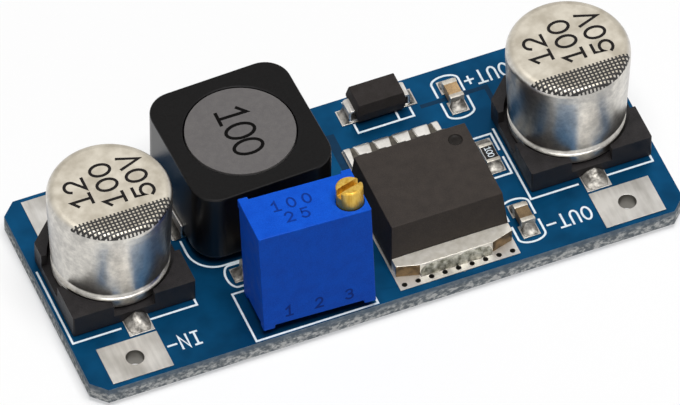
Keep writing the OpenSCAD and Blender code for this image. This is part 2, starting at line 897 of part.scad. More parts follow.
// The pins are trimmed level with the solder tips
module trimmer_pins() {
    room = board_l;
    color("silver") intersection() {
        at_trimmer() pin_row();
        translate([-room / 2, -room / 2, 0]) cube(room);
    }
}

// Regulator

module tab_outline() {
    half = reg_w / 2;
    inner = tab_inner_w / 2;
    polygon([
        [-half, -tab_reach + tab_slant], [-half + tab_slant_l, -tab_reach],
        [half - tab_slant_l, -tab_reach], [half, -tab_reach + tab_slant],
        [half, 0], [inner, 0], [inner, tab_inner_l], [-inner, tab_inner_l], [-inner, 0], [-half, 0]
    ]);
}

module tab_solid() {
    at_regulator() linear_extrude(tab_t) tab_outline();
}

module regulator_tab() {
    color("burlywood") tab_solid();
}

module regulator_body() {
    mark_x = reg_w / 2 - reg_side_draft - mark_edge;
    mark_y = reg_l - reg_back_draft - mark_edge;
    color("darkslategray") difference() {
        at_regulator() {
            translate([-reg_w / 2, 0, reg_lift]) cube([reg_w, reg_l, tab_t - reg_lift]);
            translate([0, 0, tab_t]) drafted_block(
                reg_w, reg_l, reg_h - tab_t, reg_side_draft, reg_front_draft, reg_back_draft);
        }
        at_regulator() translate([mark_x, mark_y, reg_h - mark_depth])
            cylinder(d = mark_d, h = mark_depth + over);
        tab_solid();
        shoulder_row();
    }
}

// Straight part of the leads, from inside the body to the bend
module shoulder_row() {
    at_leads() translate([-lead_shoulder_w / 2, reg_l - lead_grip, lead_z])
        cube([lead_shoulder_w, lead_grip + lead_run, lead_t]);
}

// The bent part of a lead: down to the land and out along it
module lead_drop_section() {
    fall = lead_z - lead_bend;
    leg_y = reg_l + lead_run + lead_bend;
    rise = lead_t + lead_bend;
    translate([reg_l + lead_run, fall]) quarter_ring(lead_bend, lead_t);
    translate([leg_y, rise]) square([lead_t, fall - rise]);
    translate([leg_y + rise, rise]) rotate(180) quarter_ring(lead_bend, lead_t);
    translate([lead_foot_y, 0]) square([lead_foot, lead_t]);
}

module regulator_leads() {
    color("silver") {
        shoulder_row();
        at_leads() across_x(lead_w) lead_drop_section();
    }
}

// Diode

module diode_body() {
    lift = diode_lead_t;
    color("darkslategray") difference() {
        at_diode() hull() {
            for (z = [lift, diode_h - skin])
                translate([-diode_l / 2 + diode_draft, -diode_w / 2 + diode_draft, z])
                    cube([diode_l - 2 * diode_draft, diode_w - 2 * diode_draft, skin]);
            translate([-diode_l / 2, -diode_w / 2, diode_mid_z])
                cube([diode_l, diode_w, diode_lead_t]);
        }
        diode_lead_pair();
    }
}

// One lead: out of the body, down its end and back under it
module diode_lead_section() {
    run = diode_lead_run + diode_grip;
    bend_x = diode_l / 2 + diode_lead_run;
    low = diode_lead_t + diode_bend;
    high = diode_mid_z - diode_bend;
    translate([diode_l / 2 - diode_grip, diode_mid_z]) square([run, diode_lead_t]);
    translate([bend_x, high]) quarter_ring(diode_bend, diode_lead_t);
    translate([bend_x + diode_bend, low]) square([diode_lead_t, high - low]);
    translate([bend_x, low]) rotate(-90) quarter_ring(diode_bend, diode_lead_t);
    translate([bend_x - diode_foot, 0]) square([diode_foot, diode_lead_t]);
}

module diode_lead_pair() {
    at_diode() for (turn = [-90, 90]) rotate(turn) across_x(diode_lead_w) diode_lead_section();
}

module diode_leads() {
    color("silver") diode_lead_pair();
}

// Chip parts, long along Y

module chip_box(w, l, z, h) {
    translate([-w / 2, -l / 2, z]) cube([w, l, h]);
}

module chip_core(h) {
    chip_box(chip_w - 2 * chip_end_t, chip_l - 2 * chip_end_t, chip_end_t, h - 2 * chip_end_t);
}

module chip_ends(h, end) {
    difference() {
        chip_box(chip_w, chip_l, 0, h);
        chip_box(chip_w + over, chip_l - 2 * end, -over, h + 2 * over);
        chip_core(h);
    }
}

module rear_ceramic_body() {
    color("tan") at_chip(rear_chip_x, rear_chip_y) chip_core(ceramic_h);
}

module rear_ceramic_ends() {
    color("silver") at_chip(rear_chip_x, rear_chip_y) chip_ends(ceramic_h, chip_end);
}

module front_ceramic_body() {
    color("tan") at_chip(chip_x, front_chip_y) chip_core(ceramic_h);
}

module front_ceramic_ends() {
    color("silver") at_chip(chip_x, front_chip_y) chip_ends(ceramic_h, chip_end);
}

module middle_ceramic_body() {
    color("tan") at_middle_chip() chip_core(ceramic_h);
}

module middle_ceramic_ends() {
    color("silver") at_middle_chip() chip_ends(ceramic_h, chip_end);
}

module resistor_body() {
    color("white") at_chip(chip_x, resistor_y) chip_core(resistor_h);
}

// Glaze on the resistor's top, between its metal ends
module resistor_glaze() {
    w = chip_w - 4 * chip_end_t;
    color("black") at_chip(chip_x, resistor_y)
        chip_box(w, chip_l - 2 * resistor_end, resistor_h - chip_end_t, glaze_t);
}

module resistor_ends() {
    color("silver") at_chip(chip_x, resistor_y) chip_ends(resistor_h, resistor_end);
}

// Solder

// Mound on each capacitor lead past the base
module capacitor_mound(x) {
    half = cap_land_w / 2 - land_margin;
    r = (half * half + mound_h * mound_h) / (2 * mound_h);
    difference() {
        at_capacitor(x) both_ways() intersection() {
            translate([0, -cap_half - cap_lead_reach / 2, mound_h - r]) sphere(r);
            translate([-half, -cap_half - mound_l, 0]) cube([2 * half, mound_l, mound_h + over]);
        }
        capacitor_leads(x);
    }
}

module capacitor_solder() {
    color("lightgray") {
        capacitor_mound(in_cap_x);
        capacitor_mound(out_cap_x);
    }
}

module inductor_solder() {
    color("lightgray") at_inductor() for (turn = [90, -90]) rotate(turn)
        translate([0, -inductor_w / 2 - clip_t, 0]) rotate(180) fillet_bar(clip_w, clip_fillet);
}

module regulator_solder() {
    tab_run = reg_w - 2 * tab_slant_l;
    color("lightgray") {
        at_regulator() translate([0, -tab_reach, 0]) rotate(180) fillet_bar(tab_run, tab_fillet);
        at_leads() translate([0, lead_tip_y, 0]) fillet_bar(lead_w, lead_fillet);
    }
}

module diode_solder() {
    color("lightgray") at_diode() for (turn = [-90, 90]) rotate(turn)
        translate([0, diode_outer, 0]) fillet_bar(diode_lead_w, diode_fillet);
}

module chip_fillets(r) {
    both_ways() translate([0, chip_l / 2, 0]) fillet_bar(chip_w, r);
}

module chip_solder() {
    color("lightgray") {
        at_chip(rear_chip_x, rear_chip_y) chip_fillets(chip_fillet);
        at_chip(chip_x, front_chip_y) chip_fillets(chip_fillet);
        at_chip(chip_x, resistor_y) chip_fillets(resistor_fillet);
        at_middle_chip() chip_fillets(chip_fillet);
    }
}

// Solder fills each pin hole and stands as a cone under the board
module trimmer_solder() {
    ring_d = pin_hole_d + 2 * pin_ring;
    cone_h = tail_h - land_t;
    color("lightgray") difference() {
        at_pin_holes() {
            translate([0, 0, board_z - land_t]) cylinder(d = pin_hole_d, h = board_t + 2 * land_t);
            cylinder(d1 = pin_hole_d, d2 = ring_d, h = cone_h);
        }
        at_trimmer() pin_row();
    }
}

circuit_board();
terminal_lands();
component_lands();
regulator_land();
trimmer_lands();
input_capacitor_can();
input_capacitor_base();
input_capacitor_leads();
output_capacitor_can();
output_capacitor_base();
output_capacitor_leads();
inductor_shield();
inductor_core();
inductor_winding();
inductor_base();
inductor_clips();
trimmer_housing();
trimmer_potting();
trimmer_pins();
trimmer_screw();
regulator_body();
regulator_tab();
regulator_leads();
diode_body();
diode_leads();
rear_ceramic_body();
rear_ceramic_ends();
front_ceramic_body();
front_ceramic_ends();
middle_ceramic_body();
middle_ceramic_ends();
resistor_body();
resistor_glaze();
resistor_ends();
capacitor_solder();
inductor_solder();
regulator_solder();
diode_solder();
chip_solder();
trimmer_solder();
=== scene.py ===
"""Looks of a small step-up converter module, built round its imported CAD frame.

The CAD nodes keep their shape and get rounded edges and finishes. Print, uneven solder and the
other thin layers that the solids leave out are added as meshes in the same frame, in metres.
"""

import json
import logging
import math
from dataclasses import dataclass
from enum import Enum
from typing import Any, Iterable

import bmesh
import bpy
from mathutils import Matrix, Vector, noise


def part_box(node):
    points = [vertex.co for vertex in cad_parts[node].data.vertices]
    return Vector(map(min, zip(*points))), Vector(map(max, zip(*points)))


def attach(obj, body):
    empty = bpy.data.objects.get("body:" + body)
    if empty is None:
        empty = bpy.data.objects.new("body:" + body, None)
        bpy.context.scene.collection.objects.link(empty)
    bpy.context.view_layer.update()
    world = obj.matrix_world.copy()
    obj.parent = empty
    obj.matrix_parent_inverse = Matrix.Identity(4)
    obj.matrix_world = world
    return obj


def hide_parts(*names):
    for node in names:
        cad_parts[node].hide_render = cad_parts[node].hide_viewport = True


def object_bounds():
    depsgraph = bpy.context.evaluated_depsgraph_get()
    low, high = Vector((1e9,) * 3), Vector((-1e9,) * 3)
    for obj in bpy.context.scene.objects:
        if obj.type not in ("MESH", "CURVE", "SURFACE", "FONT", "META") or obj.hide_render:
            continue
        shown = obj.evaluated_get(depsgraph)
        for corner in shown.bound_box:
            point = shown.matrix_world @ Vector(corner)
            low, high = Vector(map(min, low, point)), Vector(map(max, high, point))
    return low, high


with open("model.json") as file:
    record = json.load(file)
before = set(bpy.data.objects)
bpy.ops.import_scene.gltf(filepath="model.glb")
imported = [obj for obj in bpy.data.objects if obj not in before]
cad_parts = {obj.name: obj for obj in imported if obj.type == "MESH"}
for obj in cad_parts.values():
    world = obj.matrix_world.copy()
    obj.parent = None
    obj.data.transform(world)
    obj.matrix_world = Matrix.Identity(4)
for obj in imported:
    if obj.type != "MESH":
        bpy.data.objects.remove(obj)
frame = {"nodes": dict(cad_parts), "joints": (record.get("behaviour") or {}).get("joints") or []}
CAD_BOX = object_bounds()

MM = 0.001
# Body of the frame that every added piece rides on
MODULE = "module"
log = logging.getLogger("converter_module")

Point = tuple[float, float]
Path = list[Point]
Span = tuple[float, float]
Triple = tuple[float, float, float]
# Dark and light end of a tone, as sRGB hex
Tones = tuple[str, str]
Tree = bpy.types.NodeTree
Node = bpy.types.Node
Piece = bpy.types.Object
Mesh = bmesh.types.BMesh
Ring = list[bmesh.types.BMVert]
X_AXIS = Vector((1, 0, 0))
Y_AXIS = Vector((0, 1, 0))
Z_AXIS = Vector((0, 0, 1))


class Slot(Enum):
    """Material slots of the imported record."""

    BOARD = "board_laminate"
    HOUSING = "blue_housing"
    WHITE = "white_ceramic"
    BLACK = "black_glaze"
    SOLDER = "solder"
    PACKAGE = "package_moulding"


class Ends(Enum):
    """Ways to end a row of rings."""

    SHUT = "first and last ring filled"
    DISH = "first ring filled"
    LOOP = "last ring joined to the first"


# Colour and node helpers

# Inputs and output of a Mix node, which has a set of them for each type of data
SHARE = 0
NUMBER_A, NUMBER_B = 2, 3
SKIN_A, SKIN_B, SKIN = 4, 5, 1
COLOUR_A, COLOUR_B, COLOUR = 6, 7, 2
# Paired inputs of a MapRange node
FROM = ("From Min", "From Max")
TO = ("To Min", "To Max")


def linear(code: str) -> tuple[float, float, float, float]:
    """Turns an sRGB hex colour into linear light.

    Args:
        code: Colour such as "#1B58D7".

    Returns:
        Linear red, green and blue, with full alpha.
    """
    parts = [int(code[i:i + 2], 16) / 255 for i in (1, 3, 5)]
    lit = [c / 12.92 if c <= 0.04045 else ((c + 0.055) / 1.055) ** 2.4 for c in parts]
    return (lit[0], lit[1], lit[2], 1.0)


def per_mm(size: float) -> float:
    """Texture scale at which a pattern's cell measures that many millimetres."""
    return 1 / (size * MM)


def add(
    tree: Tree,
    kind: str,
    sockets: dict[str | int | tuple[str, str], Any] | None = None,
    stops: Iterable[tuple[float, str]] = (),
    **settings: Any,
) -> Node:
    """Adds a shader node with its settings, values and links.

    Args:
        tree: Node tree of the material or world.
        kind: Node type without its ShaderNode prefix.
        sockets: Value for each named or numbered input, or a pair of values for a pair of inputs.
            An output socket is linked, and so is a node's first output.
        stops: Positions and hex colours of a colour ramp.
        settings: Properties of the node itself.

    Returns:
        The new node.
    """
    node = tree.nodes.new("ShaderNode" + kind)
    for name, value in settings.items():
        setattr(node, name, value)
    inputs: list[tuple[str | int, Any]] = []
    for key, value in (sockets or {}).items():
        inputs += zip(key, value) if isinstance(key, tuple) else [(key, value)]
    for key, value in inputs:
        if isinstance(value, Node):
            value = value.outputs[0]
        if isinstance(value, bpy.types.NodeSocket):
            tree.links.new(value, node.inputs[key])
        else:
            node.inputs[key].default_value = value
    for i, (position, code) in enumerate(stops):
        ramp = node.color_ramp.elements
        stop = ramp[i] if i < 2 else ramp.new(position)
        stop.position = position
        stop.color = linear(code)
    return node


# Finishes


@dataclass(frozen=True)
class Finish:
    """A surface finish that makes its own node material."""

    name: str

    def material(self) -> bpy.types.Material:
        """Makes the material on first use.

        Returns:
            The finish's material.
        """
        made = bpy.data.materials.get(self.name)
        if made:
            return made
        made = bpy.data.materials.new(self.name)
        made.use_nodes = True
        made.node_tree.nodes.clear()
        add(made.node_tree, "OutputMaterial", {"Surface": self.shade(made.node_tree)})
        return made

    def shade(self, tree: Tree) -> Node:
        """Builds the surface; each kind of finish has its own.

        Args:
            tree: Empty node tree of the material.

        Returns:
            The shader node.
        """
        raise NotImplementedError


@dataclass(frozen=True)
class Moulding(Finish):
    """Moulded, sintered or printed body: soft tone patches, and a fine grain that breaks the gloss.

    Real filler and pigment grains measure 0.01 to 0.05 mm. They are drawn coarser, so that they show.
    """

    tones: Tones
    patch_mm: float
    grain_mm: float
    relief_mm: float
    roughness: Span
    specular: float = 0.5
    ior: float = 1.5
    grain_share: float = 0.5
    tone_range: Span = (0.36, 0.64)
    gloss_range: Span = (0.3, 0.7)

    def shade(self, tree: Tree) -> Node:
        """Builds patches and grain.

        Args:
            tree: Empty node tree of the material.

        Returns:
            The shader node.
        """
        place = add(tree, "TexCoord").outputs["Object"]
        patch = add(tree, "TexNoise", {"Vector": place, "Scale": per_mm(self.patch_mm), "Detail": 4})
        grain = add(tree, "TexNoise", {"Vector": place, "Scale": per_mm(self.grain_mm), "Detail": 2})
        blend = add(tree, "Mix", {SHARE: self.grain_share, NUMBER_A: patch, NUMBER_B: grain})
        tone = add(tree, "ValToRGB", {"Fac": blend}, zip(self.tone_range, self.tones))
        gloss = add(tree, "MapRange", {"Value": patch, FROM: self.gloss_range, TO: self.roughness})
        bump = add(tree, "Bump", {"Height": grain, "Distance": self.relief_mm * MM})
        return add(tree, "BsdfPrincipled", {
            "Base Color": tone, "Roughness": gloss, "Normal": bump,
            "IOR": self.ior, "Specular IOR Level": self.specular,
        })


@dataclass(frozen=True)
class Metal(Finish):
    """Bare or plated metal: tone and gloss drift together, and the skin is never quite flat."""

    tones: Tones
    patch_mm: float
    relief_mm: float
    roughness: Span
    stretch: Triple = (1, 1, 1)
    tone_range: Span = (0.35, 0.65)
    wave_share: float = 0.8

    def shade(self, tree: Tree) -> Node:
        """Builds drifting tones and a wavy skin.

        Args:
            tree: Empty node tree of the material.

        Returns:
            The shader node.
        """
        place = add(tree, "TexCoord").outputs["Object"]
        drawn = add(tree, "Mapping", {"Vector": place, "Scale": self.stretch})
        drift = add(tree, "TexNoise", {
            "Vector": drawn, "Scale": per_mm(self.patch_mm), "Detail": 5, "Roughness": 0.6,
        })
        tone = add(tree, "ValToRGB", {"Fac": drift}, zip(self.tone_range, self.tones))
        gloss = add(tree, "MapRange", {"Value": drift, FROM: self.tone_range, TO: self.roughness[::-1]})
        wave_mm = self.patch_mm * self.wave_share
        wave = add(tree, "TexNoise", {"Vector": place, "Scale": per_mm(wave_mm), "Detail": 1})
        bump = add(tree, "Bump", {"Height": wave, "Distance": self.relief_mm * MM})
        return add(tree, "BsdfPrincipled", {
            "Base Color": tone, "Metallic": 1.0, "Roughness": gloss, "Normal": bump,
        })


@dataclass(frozen=True)
class TinnedLand(Finish):
    """Hot-air levelled tin: cloudy satin flats, and walls in the plated holes darkened with painted
    shade.
    """

    tones: Tones = ("#AFABA5", "#DEDBD6")
    wall: str = "#83807A"
    # Colour of upright faces, darker than the tin: painted shade inside the plated holes
    cloud_mm: float = 3.2
    streak_mm: float = 0.5
    wipe: Triple = (1, 0.15, 1)
    streak_share: float = 0.35
    tone_range: Span = (0.36, 0.62)
    hole_shade_slope: Span = (0.4, 0.8)
    roughness: Span = (0.5, 0.34)
    relief_mm: float = 0.006

    def shade(self, tree: Tree) -> Node:
        """Builds clouds and fine streaks, and paints shade on the walls.

        Args:
            tree: Empty node tree of the material.

        Returns:
            The shader node.
        """
        place = add(tree, "TexCoord").outputs["Object"]
        slope = add(tree, "SeparateXYZ", {"Vector": add(tree, "NewGeometry").outputs["True Normal"]})
        flat = add(tree, "Math", {0: slope.outputs["Z"]}, operation="ABSOLUTE")
        face = add(tree, "MapRange", {"Value": flat, FROM: self.hole_shade_slope})
        cloud = add(tree, "TexNoise", {"Vector": place, "Scale": per_mm(self.cloud_mm), "Detail": 3})
        wiped = add(tree, "Mapping", {"Vector": place, "Scale": self.wipe})
        streak = add(tree, "TexNoise", {"Vector": wiped, "Scale": per_mm(self.streak_mm), "Detail": 4})
        blend = add(tree, "Mix", {SHARE: self.streak_share, NUMBER_A: cloud, NUMBER_B: streak})
        tin = add(tree, "ValToRGB", {"Fac": blend}, zip(self.tone_range, self.tones))
        # Upright faces take the darker wall colour: painted shade in the holes
        colour = add(tree, "Mix", {
            SHARE: face, COLOUR_A: linear(self.wall), COLOUR_B: tin,
        }, data_type="RGBA")
        gloss = add(tree, "MapRange", {"Value": streak, TO: self.roughness})
        bump = add(tree, "Bump", {"Height": streak, "Distance": self.relief_mm * MM})
        return add(tree, "BsdfPrincipled", {
            "Base Color": colour.outputs[COLOUR], "Metallic": 1.0, "Roughness": gloss, "Normal": bump,
        })


@dataclass(frozen=True)
class MaskedLaminate(Finish):
    """Glass-fibre board: semi-gloss blue solder mask on its faces, cut pale fibres on its edges.

    The copper under the mask shines through it, so the mask is partly metallic. The band is the
    greyer upper part of the cut edge, which comes in between two heights of the CAD frame.
    """

    mask: Tones = ("#044065", "#08507C")
    mask_range: Span = (0.35, 0.65)
    fibres: tuple[str, str, str] = ("#868E94", "#EAEBEA", "#B4B9BC")
    fibre_range: Triple = (0.4, 0.6, 0.5)
    band: str = "#6F8294"
    band_mm: Span = (1.25, 1.75)
    band_share: float = 0.85
    patch_mm: float = 3.0
    weave_mm: float = 0.45
    bundle_mm: float = 0.45
    layers: Triple = (1, 1, 1.3)
    face_slope: Span = (0.75, 0.95)
    roughness: Span = (0.8, 0.34)
    copper_share: float = 0.65
    mask_relief_mm: float = 0.004
    edge_relief_mm: float = 0.06
    specular: float = 0.14

    def shade(self, tree: Tree) -> Node:
        """Builds mask and cut edge and picks by the face's slope.

        Args:
            tree: Empty node tree of the material.

        Returns:
            The shader node.
        """
        place = add(tree, "TexCoord").outputs["Object"]
        slope = add(tree, "SeparateXYZ", {"Vector": add(tree, "NewGeometry").outputs["True Normal"]})
        flat = add(tree, "Math", {0: slope.outputs["Z"]}, operation="ABSOLUTE")
        face = add(tree, "MapRange", {"Value": flat, FROM: self.face_slope})
        patch = add(tree, "TexNoise", {"Vector": place, "Scale": per_mm(self.patch_mm), "Detail": 3})
        mask = add(tree, "ValToRGB", {"Fac": patch}, zip(self.mask_range, self.mask))
        weave = add(tree, "TexNoise", {"Vector": place, "Scale": per_mm(self.weave_mm), "Detail": 1})
        layers = add(tree, "Mapping", {"Vector": place, "Scale": self.layers})
        bundles = add(tree, "TexNoise", {
            "Vector": layers, "Scale": per_mm(self.bundle_mm), "Detail": 2, "Roughness": 0.6,
        })
        fibre = add(tree, "ValToRGB", {"Fac": bundles}, zip(self.fibre_range, self.fibres))
        height = add(tree, "SeparateXYZ", {"Vector": place}).outputs["Z"]
        upper = add(tree, "MapRange", {
            "Value": height, FROM: [z * MM for z in self.band_mm], "To Max": self.band_share,
        })
        edge = add(tree, "Mix", {
            SHARE: upper, COLOUR_A: fibre, COLOUR_B: linear(self.band),
        }, data_type="RGBA")
        colour = add(tree, "Mix", {
            SHARE: face, COLOUR_A: edge.outputs[COLOUR], COLOUR_B: mask,
        }, data_type="RGBA")
        gloss = add(tree, "MapRange", {"Value": face, TO: self.roughness})
        copper = add(tree, "MapRange", {"Value": face, "To Max": self.copper_share})
        mask_bump = add(tree, "Bump", {"Height": weave, "Distance": self.mask_relief_mm * MM})
        edge_bump = add(tree, "Bump", {"Height": bundles, "Distance": self.edge_relief_mm * MM})
        relief = add(tree, "Mix", {
            SHARE: face, SKIN_A: edge_bump, SKIN_B: mask_bump,
        }, data_type="VECTOR")
        return add(tree, "BsdfPrincipled", {
            "Base Color": colour.outputs[COLOUR], "Metallic": copper, "Roughness": gloss,
            "Normal": relief.outputs[SKIN], "Specular IOR Level": self.specular,
        })


@dataclass(frozen=True)
class DrawnCan(Finish):
    """Deep-drawn aluminium can: pressed satin top, wavy bright wall, printed half-tone mark."""

    top_tones: Tones = ("#B3AB9C", "#CEC7B9")
    top_range: Span = (0.35, 0.65)
    wall_tones: Tones = ("#B0ADA8", "#DEDAD2")
    wall_range: Span = (0.4, 0.58)
    ink: str = "#1B1917"
    dot_pitch_mm: float = 0.33
    line_share: float = 0.5
    mark_y_mm: float = -1.8
    mark_floor_mm: float = 11.95
    comb_mm: float = 0.18
    grain_mm: float = 1.3
    wave_mm: float = 2.6
    pull: Triple = (1, 1, 0.5)
    scuff_mm: float = 0.6
    scuff_share: float = 0.45
    top_slope: Span = (0.55, 0.9)
    roughness: Span = (0.31, 0.5)
    dent_mm: float = 0.035
    satin_mm: float = 0.006

    def printed(self, tree: Tree, where: Node, up: Node) -> Node:
        """Builds the mark: a grid of ink lines, with one set longer than the other like a comb.

        Args:
            tree: Node tree of the material.
            where: Node that splits the place into its axes.
            up: Node that gives 1 at the can's top.

        Returns:
            Node that gives 1 where there is ink.
        """
        inked = []
        for axis, limit in (("X", self.mark_y_mm + self.comb_mm), ("Y", self.mark_y_mm)):
            pitch = {0: where.outputs[axis], 1: per_mm(self.dot_pitch_mm)}
            cells = add(tree, "Math", pitch, operation="MULTIPLY")
            part = add(tree, "Math", {0: cells}, operation="FRACT")
            line = add(tree, "Math", {0: part, 1: self.line_share}, operation="LESS_THAN")
            near = add(tree, "Math", {0: where.outputs["Y"], 1: limit * MM}, operation="LESS_THAN")
            inked.append(add(tree, "Math", {0: line, 1: near}, operation="MULTIPLY"))
        grid = add(tree, "Math", {0: inked[0], 1: inked[1]}, operation="MAXIMUM")
        return add(tree, "Math", {0: grid, 1: up}, operation="MULTIPLY")

    def shade(self, tree: Tree) -> Node:
        """Builds top, wall and print.

        Args:
            tree: Empty node tree of the material.

        Returns:
            The shader node.
        """
        place = add(tree, "TexCoord").outputs["Object"]
        where = add(tree, "SeparateXYZ", {"Vector": place})
        slope = add(tree, "SeparateXYZ", {"Vector": add(tree, "NewGeometry").outputs["Normal"]})
        floor = {0: where.outputs["Z"], 1: self.mark_floor_mm * MM}
        up = add(tree, "Math", floor, operation="GREATER_THAN")
        level = add(tree, "MapRange", {"Value": slope.outputs["Z"], FROM: self.top_slope})
        top = add(tree, "Math", {0: up, 1: level}, operation="MULTIPLY")
        grain = add(tree, "TexNoise", {"Vector": place, "Scale": per_mm(self.grain_mm), "Detail": 6})
        satin = add(tree, "ValToRGB", {"Fac": grain}, zip(self.top_range, self.top_tones))
        drawn = add(tree, "Mapping", {"Vector": place, "Scale": self.pull})
        wave = add(tree, "TexNoise", {
            "Vector": drawn, "Scale": per_mm(self.wave_mm), "Detail": 5, "Roughness": 0.55,
        })
        scuff = add(tree, "TexNoise", {
            "Vector": place, "Scale": per_mm(self.scuff_mm), "Detail": 6, "Roughness": 0.7,
        })
        worn = add(tree, "Mix", {SHARE: self.scuff_share, NUMBER_A: wave, NUMBER_B: scuff})
        wall = add(tree, "ValToRGB", {"Fac": worn}, zip(self.wall_range, self.wall_tones))
        metal = add(tree, "Mix", {SHARE: top, COLOUR_A: wall, COLOUR_B: satin}, data_type="RGBA")
        printed = self.printed(tree, where, up)
        colour = add(tree, "Mix", {
            SHARE: printed, COLOUR_A: metal.outputs[COLOUR], COLOUR_B: linear(self.ink),
        }, data_type="RGBA")
        bare = add(tree, "MapRange", {"Value": printed, TO: (1, 0)})
        rough = add(tree, "MapRange", {"Value": top, TO: self.roughness})
        dents = add(tree, "Bump", {"Height": worn, "Distance": self.dent_mm * MM})
        pressed = add(tree, "Bump", {"Height": grain, "Distance": self.satin_mm * MM})
        relief = add(tree, "Mix", {SHARE: top, SKIN_A: dents, SKIN_B: pressed}, data_type="VECTOR")
        return add(tree, "BsdfPrincipled", {
            "Base Color": colour.outputs[COLOUR], "Metallic": bare, "Roughness": rough,
            "Normal": relief.outputs[SKIN],
        })


@dataclass(frozen=True)
class CoatedFerrite(Finish):
    """Black coated ferrite: dull on its pressed top, glossy with upright streaks on its sides.

    Real grains measure about 0.02 mm. They are drawn coarser, so that they show.
    """

    top_tones: Tones = ("#0E0D0D", "#141313")
    side_tones: Tones = ("#0B0A0B", "#141314")
    tone_range: Span = (0.35, 0.65)
    grain_mm: float = 0.15
    streak_mm: float = 0.5
    pull: Triple = (1, 1, 0.06)
    top_slope: Span = (0.6, 0.95)
    roughness: Span = (0.3, 0.5)
    specular: Span = (0.26, 0.1)
    groove_mm: float = 0.005
    pore_mm: float = 0.008

    def shade(self, tree: Tree) -> Node:
        """Builds the two skins and picks by the face's slope.

        Args:
            tree: Empty node tree of the material.

        Returns:
            The shader node.
        """
        place = add(tree, "TexCoord").outputs["Object"]
        slope = add(tree, "SeparateXYZ", {"Vector": add(tree, "NewGeometry").outputs["Normal"]})
        top = add(tree, "MapRange", {"Value": slope.outputs["Z"], FROM: self.top_slope})
        grain = add(tree, "TexNoise", {"Vector": place, "Scale": per_mm(self.grain_mm), "Detail": 3})
        upper = add(tree, "ValToRGB", {"Fac": grain}, zip(self.tone_range, self.top_tones))
        drawn = add(tree, "Mapping", {"Vector": place, "Scale": self.pull})
        streak = add(tree, "TexNoise", {"Vector": drawn, "Scale": per_mm(self.streak_mm), "Detail": 3})
        side = add(tree, "ValToRGB", {"Fac": streak}, zip(self.tone_range, self.side_tones))
        colour = add(tree, "Mix", {SHARE: top, COLOUR_A: side, COLOUR_B: upper}, data_type="RGBA")
        rough = add(tree, "MapRange", {"Value": top, TO: self.roughness})
        shine = add(tree, "MapRange", {"Value": top, TO: self.specular})
        grooves = add(tree, "Bump", {"Height": streak, "Distance": self.groove_mm * MM})
        pores = add(tree, "Bump", {"Height": grain, "Distance": self.pore_mm * MM})
        relief = add(tree, "Mix", {SHARE: top, SKIN_A: grooves, SKIN_B: pores}, data_type="VECTOR")
        return add(tree, "BsdfPrincipled", {
            "Base Color": colour.outputs[COLOUR], "Roughness": rough,
            "Normal": relief.outputs[SKIN], "Specular IOR Level": shine,
        })


@dataclass(frozen=True)
class CutCopperTab(Finish):
    """Tinned copper tab: satin tin, with brown bare copper where its slanted ends were cut."""

    tin: Tones = ("#DDD7CA", "#EEE9DF")
    cut: Tones = ("#43341E", "#7A6140")
    tone_range: Span = (0.35, 0.65)
    drift_mm: float = 0.7
    # A face is cut where it looks to the front beyond one limit and aside beyond the other
    front: float = -0.7
    slant: float = 0.12
    metallic: float = 0.85
    roughness: float = 0.4
    relief_mm: float = 0.02

    def shade(self, tree: Tree) -> Node:
        """Builds tin and bare copper and picks by the face's direction.

        Args:
            tree: Empty node tree of the material.

        Returns:
            The shader node.
        """
        place = add(tree, "TexCoord").outputs["Object"]
        facing = add(tree, "SeparateXYZ", {"Vector": add(tree, "NewGeometry").outputs["True Normal"]})
        front = add(tree, "Math", {0: facing.outputs["Y"], 1: self.front}, operation="LESS_THAN")
        aside = add(tree, "Math", {0: facing.outputs["X"]}, operation="ABSOLUTE")
        slanted = add(tree, "Math", {0: aside, 1: self.slant}, operation="GREATER_THAN")
        bare = add(tree, "Math", {0: front, 1: slanted}, operation="MULTIPLY")
        drift = add(tree, "TexNoise", {"Vector": place, "Scale": per_mm(self.drift_mm), "Detail": 5})
        tin = add(tree, "ValToRGB", {"Fac": drift}, zip(self.tone_range, self.tin))
        copper = add(tree, "ValToRGB", {"Fac": drift}, zip(self.tone_range, self.cut))
        colour = add(tree, "Mix", {SHARE: bare, COLOUR_A: tin, COLOUR_B: copper}, data_type="RGBA")
        bump = add(tree, "Bump", {"Height": drift, "Distance": self.relief_mm * MM})
        return add(tree, "BsdfPrincipled", {
            "Base Color": colour.outputs[COLOUR], "Metallic": self.metallic,
            "Roughness": self.roughness, "Normal": bump,
        })


# Solder mask over copper: deep blue with a soft gloss; the sawn edge shows pale fibre bundles
BOARD_FINISH = MaskedLaminate("Solder_masked_glass_fibre_laminate")
# Mask on bare laminate: darker than over copper
GAP_FINISH = Moulding(
    "Solder_mask_on_bare_laminate", ("#062B45", "#08324F"), patch_mm=3, grain_mm=0.45,
    relief_mm=0.004, roughness=(0.32, 0.4), specular=0.14,
)
# Tin blown level with hot air: pale satin with clouds and wiped streaks, and painted shade on the hole
# walls
LAND_FINISH = TinnedLand("Hot_air_levelled_tin_shaded_holes")
# Tin-plated copper strip: brighter and smoother than the lands
LEAD_FINISH = Metal(
    "Tin_plated_copper_strip", ("#C4C0BA", "#EAE6E0"), patch_mm=0.8, relief_mm=0.008,
    roughness=(0.26, 0.4),
)
# Sheared alloy strip: dark grey, partly tarnish and partly painted shade and painted reflection of the
# dark body over the leads
TARNISH_AND_SHADE_STRIP_FINISH = Metal(
    "Tarnished_alloy_strip_painted_shade", ("#4A4640", "#6B665E"), patch_mm=0.6, relief_mm=0.01,
    roughness=(0.4, 0.55),
)
# Dipped silver ends of chips: dull, warm, slightly rippled
END_FINISH = Metal(
    "Dipped_chip_end", ("#B3ADA2", "#DCD6CB"), patch_mm=0.4, relief_mm=0.01, roughness=(0.34, 0.48),
)
# Reflowed solder: wavy dull satin with darker spots of flux
SOLDER_FINISH = Metal(
    "Reflowed_solder", ("#5C5955", "#A29E97"), patch_mm=0.5, relief_mm=0.012, roughness=(0.48, 0.64),
)
